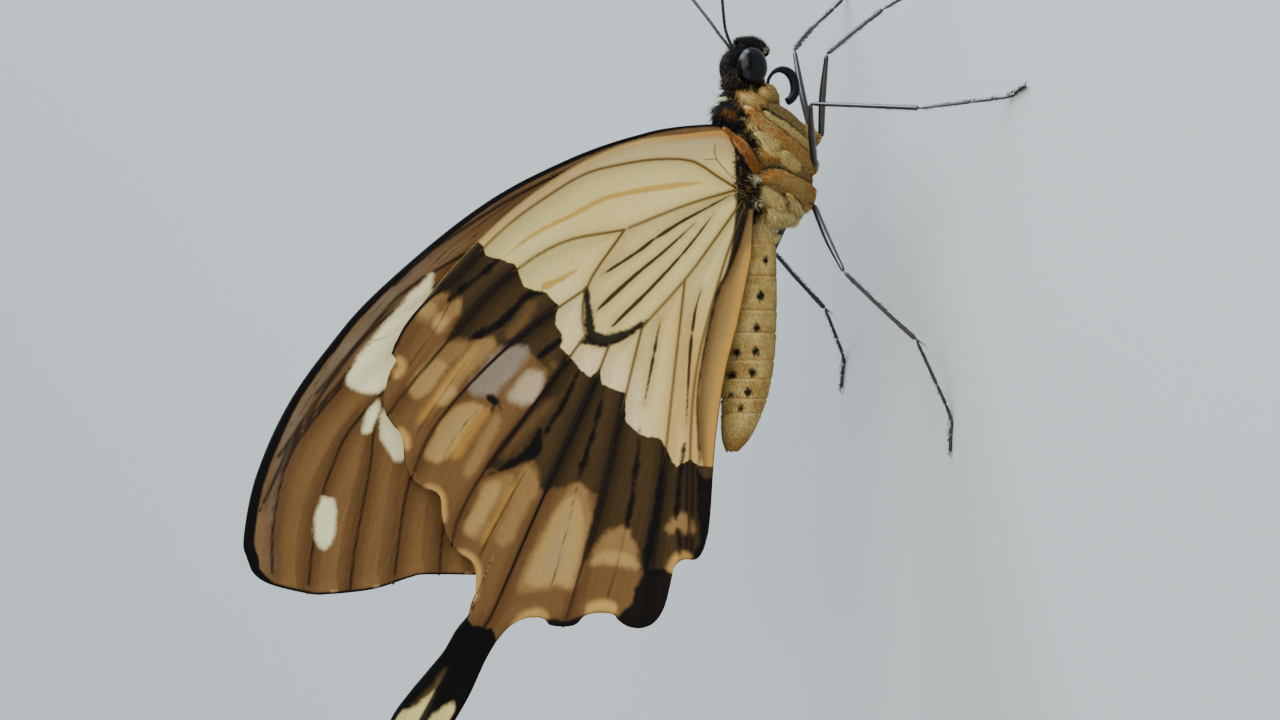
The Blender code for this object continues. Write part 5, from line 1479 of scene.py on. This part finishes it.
class MakeFeelers(Operator):
    """Antennae with clubs, scaled palps and the rolled proboscis"""
    bl_idname = "swallowtail.feelers"
    bl_label = "Feelers"

    def execute(self, context):
        sizes = context.scene.swallowtail_sizes
        rng = np.random.default_rng(SEED + 1)
        horn = horn_material("antenna horn", (0.003, 0.0025, 0.002), (0.012, 0.008, 0.006), 0.4, 900.0)
        purple = horn_material("proboscis horn", (0.001, 0.001, 0.004), (0.004, 0.003, 0.012), 0.5,
                               shine=0.2)
        fur = fur_material()
        path = curve(ANTENNA, 220)
        share = np.linspace(0.0, 1.0, 220)
        swell = ease(share, 0.82, 0.95) * np.sqrt(np.clip((1.0 - share) / 0.035, 0.03, 1.0))
        rings = 1 + 0.07 * np.cos(share * 2 * math.pi * 44)
        shaft = sizes.antenna_radius / MM * np.sqrt(np.clip((1.0 - share) / 0.01, 0.03, 1.0))
        radii = (shaft + (sizes.club_radius - sizes.antenna_radius) / MM * swell) * rings
        points, faces = tube(path, radii, 12)
        faces = faces_outward(points, faces)
        add_mesh("antenna_shaft_l", points, faces, horn, ("antenna_l",), "antenna")
        add_mesh("antenna_shaft_r", *mirrored(points, faces), horn, ("antenna_r",), "antenna")
        path = curve(PALP, 60)
        share, dome = domed(60, 0.15, 0.12)
        points, faces = tube(path, (0.3 - 0.06 * share) * dome, 20)
        faces = faces_outward(points, faces)
        for suffix, hand in (("l", 1.0), ("r", -1.0)):
            skin_points, skin_faces = (points, faces) if hand > 0 else mirrored(points, faces)
            marks = plain_marks(len(skin_points), black=1.0, tip=0.6, tone=0.5)
            add_mesh("palp_core_" + suffix, skin_points, skin_faces, fur, ("palp_" + suffix,), "palp", marks)
            place, out, heading, uv = roots_along(path[2:], (0.28 - 0.06 * share[2:]), 2600, rng)
            mirror = np.array((1.0, hand, 1.0))
            pale = rng.uniform(size=2600) + ease(-place[:, 0], -12.0, -11.0) * 0.35
            tufts("coat_palp_" + suffix, place * mirror, out * mirror, heading * mirror, (0.48, 0.045, 0.9,
                                                                                          0.3),
                  uv, plain_marks(2600, black=1.0, white=ease(pale, 1.14, 1.2) - 0.5), rng, fur)
        line = curve(PROBOSCIS, 170)
        path = np.column_stack((line[:, 0], np.zeros(170), line[:, 1]))
        share = np.linspace(0.0, 1.0, len(path))
        thick = 0.07 + 0.06 * ease(share, 0.05, 0.2) + 0.24 * ease(share, 0.3, 0.65) - 0.06 * ease(share,
                                                                                                   0.8, 1.0)
        around = np.linspace(0, 2 * math.pi, 20, endpoint=False)
        groove = 1 - 0.22 * np.exp(-((np.abs(np.cos(around)) - 0.0) / 0.25) ** 2)
        ribs = 1 + 0.03 * np.cos(share * 2 * math.pi * 70)
        end = np.sqrt(np.clip(np.minimum(share, 1 - share) / 0.012, 0.02, 1.0))
        points, faces = tube(path, (thick * ribs * end)[:, None] * groove[None], 20, 1.0, (0.0, 1.0, 0.0))
        add_mesh("proboscis_coil", points, faces_outward(points, faces), purple, ("proboscis",), "proboscis")
        return {"FINISHED"}


class MakeLegs(Operator):
    """Six jointed legs with spurs, spines, five-part feet and claws"""
    bl_idname = "swallowtail.legs"
    bl_label = "Legs"

    def execute(self, context):
        sizes = context.scene.swallowtail_sizes
        rng = np.random.default_rng(SEED + 2)
        horn = horn_material("leg horn", (0.004, 0.003, 0.003), (0.02, 0.012, 0.012), 0.32, 0.0, 0.2)
        fur = fur_material()
        radii = [value / MM for value in (sizes.femur_radius, sizes.tibia_radius, sizes.tarsus_radius)]
        for name, joints in LEGS.items():
            hand = 1.0 if name.endswith("_l") else -1.0
            hip, knee, ankle, heel, toe = (np.array(point) * (1.0, hand, 1.0) for point in joints)
            sole = radii[2] * 1.15
            ball = heel + (toe - heel) * 0.5
            ball[2], toe[2] = sole, sole
            heel[2] = sole + 0.4 * (heel[2] - 0.2)
            parts = []
            share, dome = domed(40, 0.06, 0.05)
            shape = 1 + 0.14 * np.sin(math.pi * share) - 0.28 * ease(share, 0.5, 1.0)
            parts.append(tube(curve((hip, hip + (knee - hip) * 0.5 + (0, 0, 0.12), knee), 40),
                              radii[0] * shape * dome, 12))
            share, dome = domed(40, 0.05, 0.04)
            parts.append(tube(curve((knee, knee + (ankle - knee) * 0.5 + (0, 0, 0.1), ankle), 40),
                              radii[1] * (0.92 + 0.18 * ease(share, 0.6, 1.0)) * dome, 12))
            foot = curve((ankle, heel, ball, toe), 121)
            ends = (0.0, 0.42, 0.6, 0.74, 0.86, 1.0)
            for start, end in zip(ends[:-1], ends[1:]):
                share, dome = domed(18, 0.12, 0.1)
                piece = respaced(foot, start + (end - start) * share)
                parts.append(tube(piece, radii[2] * (0.82 + 0.3 * share ** 2) * dome, 10))
            way = (toe - ball) / np.linalg.norm(toe - ball)
            beside = np.cross(way, (0.0, 0.0, 1.0))
            for turn in (-1.0, 1.0):
                claw = curve((toe - way * 0.05, toe + way * 0.25 + beside * 0.16 * turn + (0, 0, 0.08),
                              toe + way * 0.45 + beside * 0.24 * turn - (0, 0, 0.06)), 12)
                claw[:, 2] = np.maximum(claw[:, 2], 0.05)
                parts.append(tube(claw, 0.05 * np.linspace(1.0, 0.25, 12), 6))
                spur_way = (ankle - knee) / np.linalg.norm(ankle - knee)
                spur = curve((ankle - spur_way * 0.2, ankle + spur_way * 0.5 + (0.1 * turn, 0.12 * turn,
                                                                                -0.2),
                              ankle + spur_way * 0.9 + (0.15 * turn, 0.2 * turn, -0.3)), 10)
                parts.append(tube(spur, 0.045 * np.linspace(1.0, 0.2, 10), 6))
            points, faces = joined(parts)
            add_mesh("leg_" + name, points, faces_outward(points, faces), horn,
                     tuple(part + name for part in ("femur_", "tibia_", "tarsus_")), "leg")
            lines = [(knee, ankle, radii[1], 240), (ankle, heel, radii[2], 170), (heel, toe, radii[2], 120)]
            roots, outs, ways = [], [], []
            for one, two, radius, count in lines:
                step = (two - one) / np.linalg.norm(two - one)
                side = np.cross(step, (0.0, 0.0, 1.0))
                side /= np.linalg.norm(side)
                over = np.cross(side, step)
                row = rng.integers(0, 5, count) * (2 * math.pi / 5) + rng.normal(size=count) * 0.08
                out = np.cos(row)[:, None] * side + np.sin(row)[:, None] * over
                roots.append(one + (two - one) * rng.uniform(0.03, 0.97, count)[:, None] + out * radius
                             * 0.9)
                outs.append(out)
                ways.append(np.broadcast_to(step, (count, 3)))
            roots, outs, ways = np.vstack(roots), np.vstack(outs), np.vstack(ways)
            high = roots[:, 2] > 0.2
            roots, outs, ways = roots[high], outs[high], ways[high]
            tufts("coat_leg_" + name, roots, outs, ways, (0.3, 0.04, 0.5, 0.1),
                  np.column_stack((rng.uniform(size=len(roots)), rng.uniform(size=len(roots)))) * 0.99,
                  plain_marks(len(roots), black=1.0), rng, fur, 0.1)
        return {"FINISHED"}


class MakeStage(Operator):
    """Pale floor, soft lights and the camera at the photograph's angle"""
    bl_idname = "swallowtail.stage"
    bl_label = "Floor, lights and camera"

    def execute(self, context):
        scene = context.scene
        turns = np.linspace(0.0, 2 * math.pi, 96, endpoint=False)
        rings = np.array((0.05, 1.0, 2.0, 4.0))[:, None]
        disc = np.stack((rings * np.cos(turns), rings * np.sin(turns), np.zeros((4, 96))), -1).reshape(-1, 3)
        mesh = bpy.data.meshes.new("floor")
        faces = grid_faces(4, 96, True).tolist() + [list(range(96))]
        mesh.from_pydata(disc.tolist(), [], faces)
        mesh.materials.append(floor_material())
        floor = bpy.data.objects.new("floor", mesh)
        scene.collection.objects.link(floor)
        target = Vector((-0.00393, 0.0, 0.02153))
        rise = math.radians(25.0)
        ahead = Vector((0.0, math.cos(rise), -math.sin(rise)))
        right = Vector((0.0, -math.sin(rise), -math.cos(rise)))
        data = bpy.data.cameras.new("camera")
        data.lens, data.sensor_width = 36 * 13.3 * 350 / 1280, 36.0
        data.clip_start = 0.01
        camera = bpy.data.objects.new("camera", data)
        turn = Matrix((right, Vector((1.0, 0.0, 0.0)), -ahead)).transposed()
        camera.matrix_world = Matrix.Translation(target - ahead * 0.35) @ turn.to_4x4()
        scene.collection.objects.link(camera)
        scene.camera = camera
        for name, place, size, power, tint in (
                ("key", (0.34, -0.5, 0.72), 0.9, 11.0, (1.0, 0.98, 0.95)),
                ("sky", (0.8, 0.12, 0.5), 0.9, 36.0, (0.76, 0.88, 1.0)),
                ("fill", (-0.5, -0.6, 0.5), 0.9, 4.0, (0.96, 0.98, 1.0))):
            light = bpy.data.lights.new(name, "AREA")
            light.size, light.energy, light.color = size, power, tint
            lamp = bpy.data.objects.new(name, light)
            lamp.location = place
            lamp.rotation_euler = (Vector(place) - target).to_track_quat("Z", "Y").to_euler()
            scene.collection.objects.link(lamp)
        world = bpy.data.worlds.new("soft daylight")
        world.use_nodes = True
        world.node_tree.nodes["Background"].inputs["Color"].default_value = (0.86, 0.92, 0.95, 1.0)
        world.node_tree.nodes["Background"].inputs["Strength"].default_value = 0.32
        scene.world = world
        return {"FINISHED"}


class SwallowtailPanel(Panel):
    """Lists the pieces in the order they are made"""
    bl_idname = "VIEW3D_PT_swallowtail"
    bl_label = "Swallowtail"
    bl_space_type = "VIEW_3D"
    bl_region_type = "UI"
    bl_category = "Swallowtail"

    def draw(self, context):
        layout = self.layout
        for piece in PIECES:
            layout.operator(piece.bl_idname)
        for group in (context.scene.swallowtail_sizes, context.scene.swallowtail_colours):
            box = layout.box()
            for key in group.__annotations__:
                box.prop(group, key)


PIECES = (MakeStage, MakeWings, MakeBody, MakeHinges, MakeEyes, MakeFeelers, MakeLegs, MakeFur)
CLASSES = (SwallowtailSizes, SwallowtailColours) + PIECES + (SwallowtailPanel,)


def register():
    for kind in CLASSES:
        bpy.utils.register_class(kind)
    bpy.types.Scene.swallowtail_sizes = PointerProperty(type=SwallowtailSizes)
    bpy.types.Scene.swallowtail_colours = PointerProperty(type=SwallowtailColours)


def unregister():
    del bpy.types.Scene.swallowtail_colours
    del bpy.types.Scene.swallowtail_sizes
    for kind in reversed(CLASSES):
        bpy.utils.unregister_class(kind)


def main():
    register()
    for piece in PIECES:
        group, name = piece.bl_idname.split(".")
        getattr(getattr(bpy.ops, group), name)()


if __name__ == "__main__":
    main()
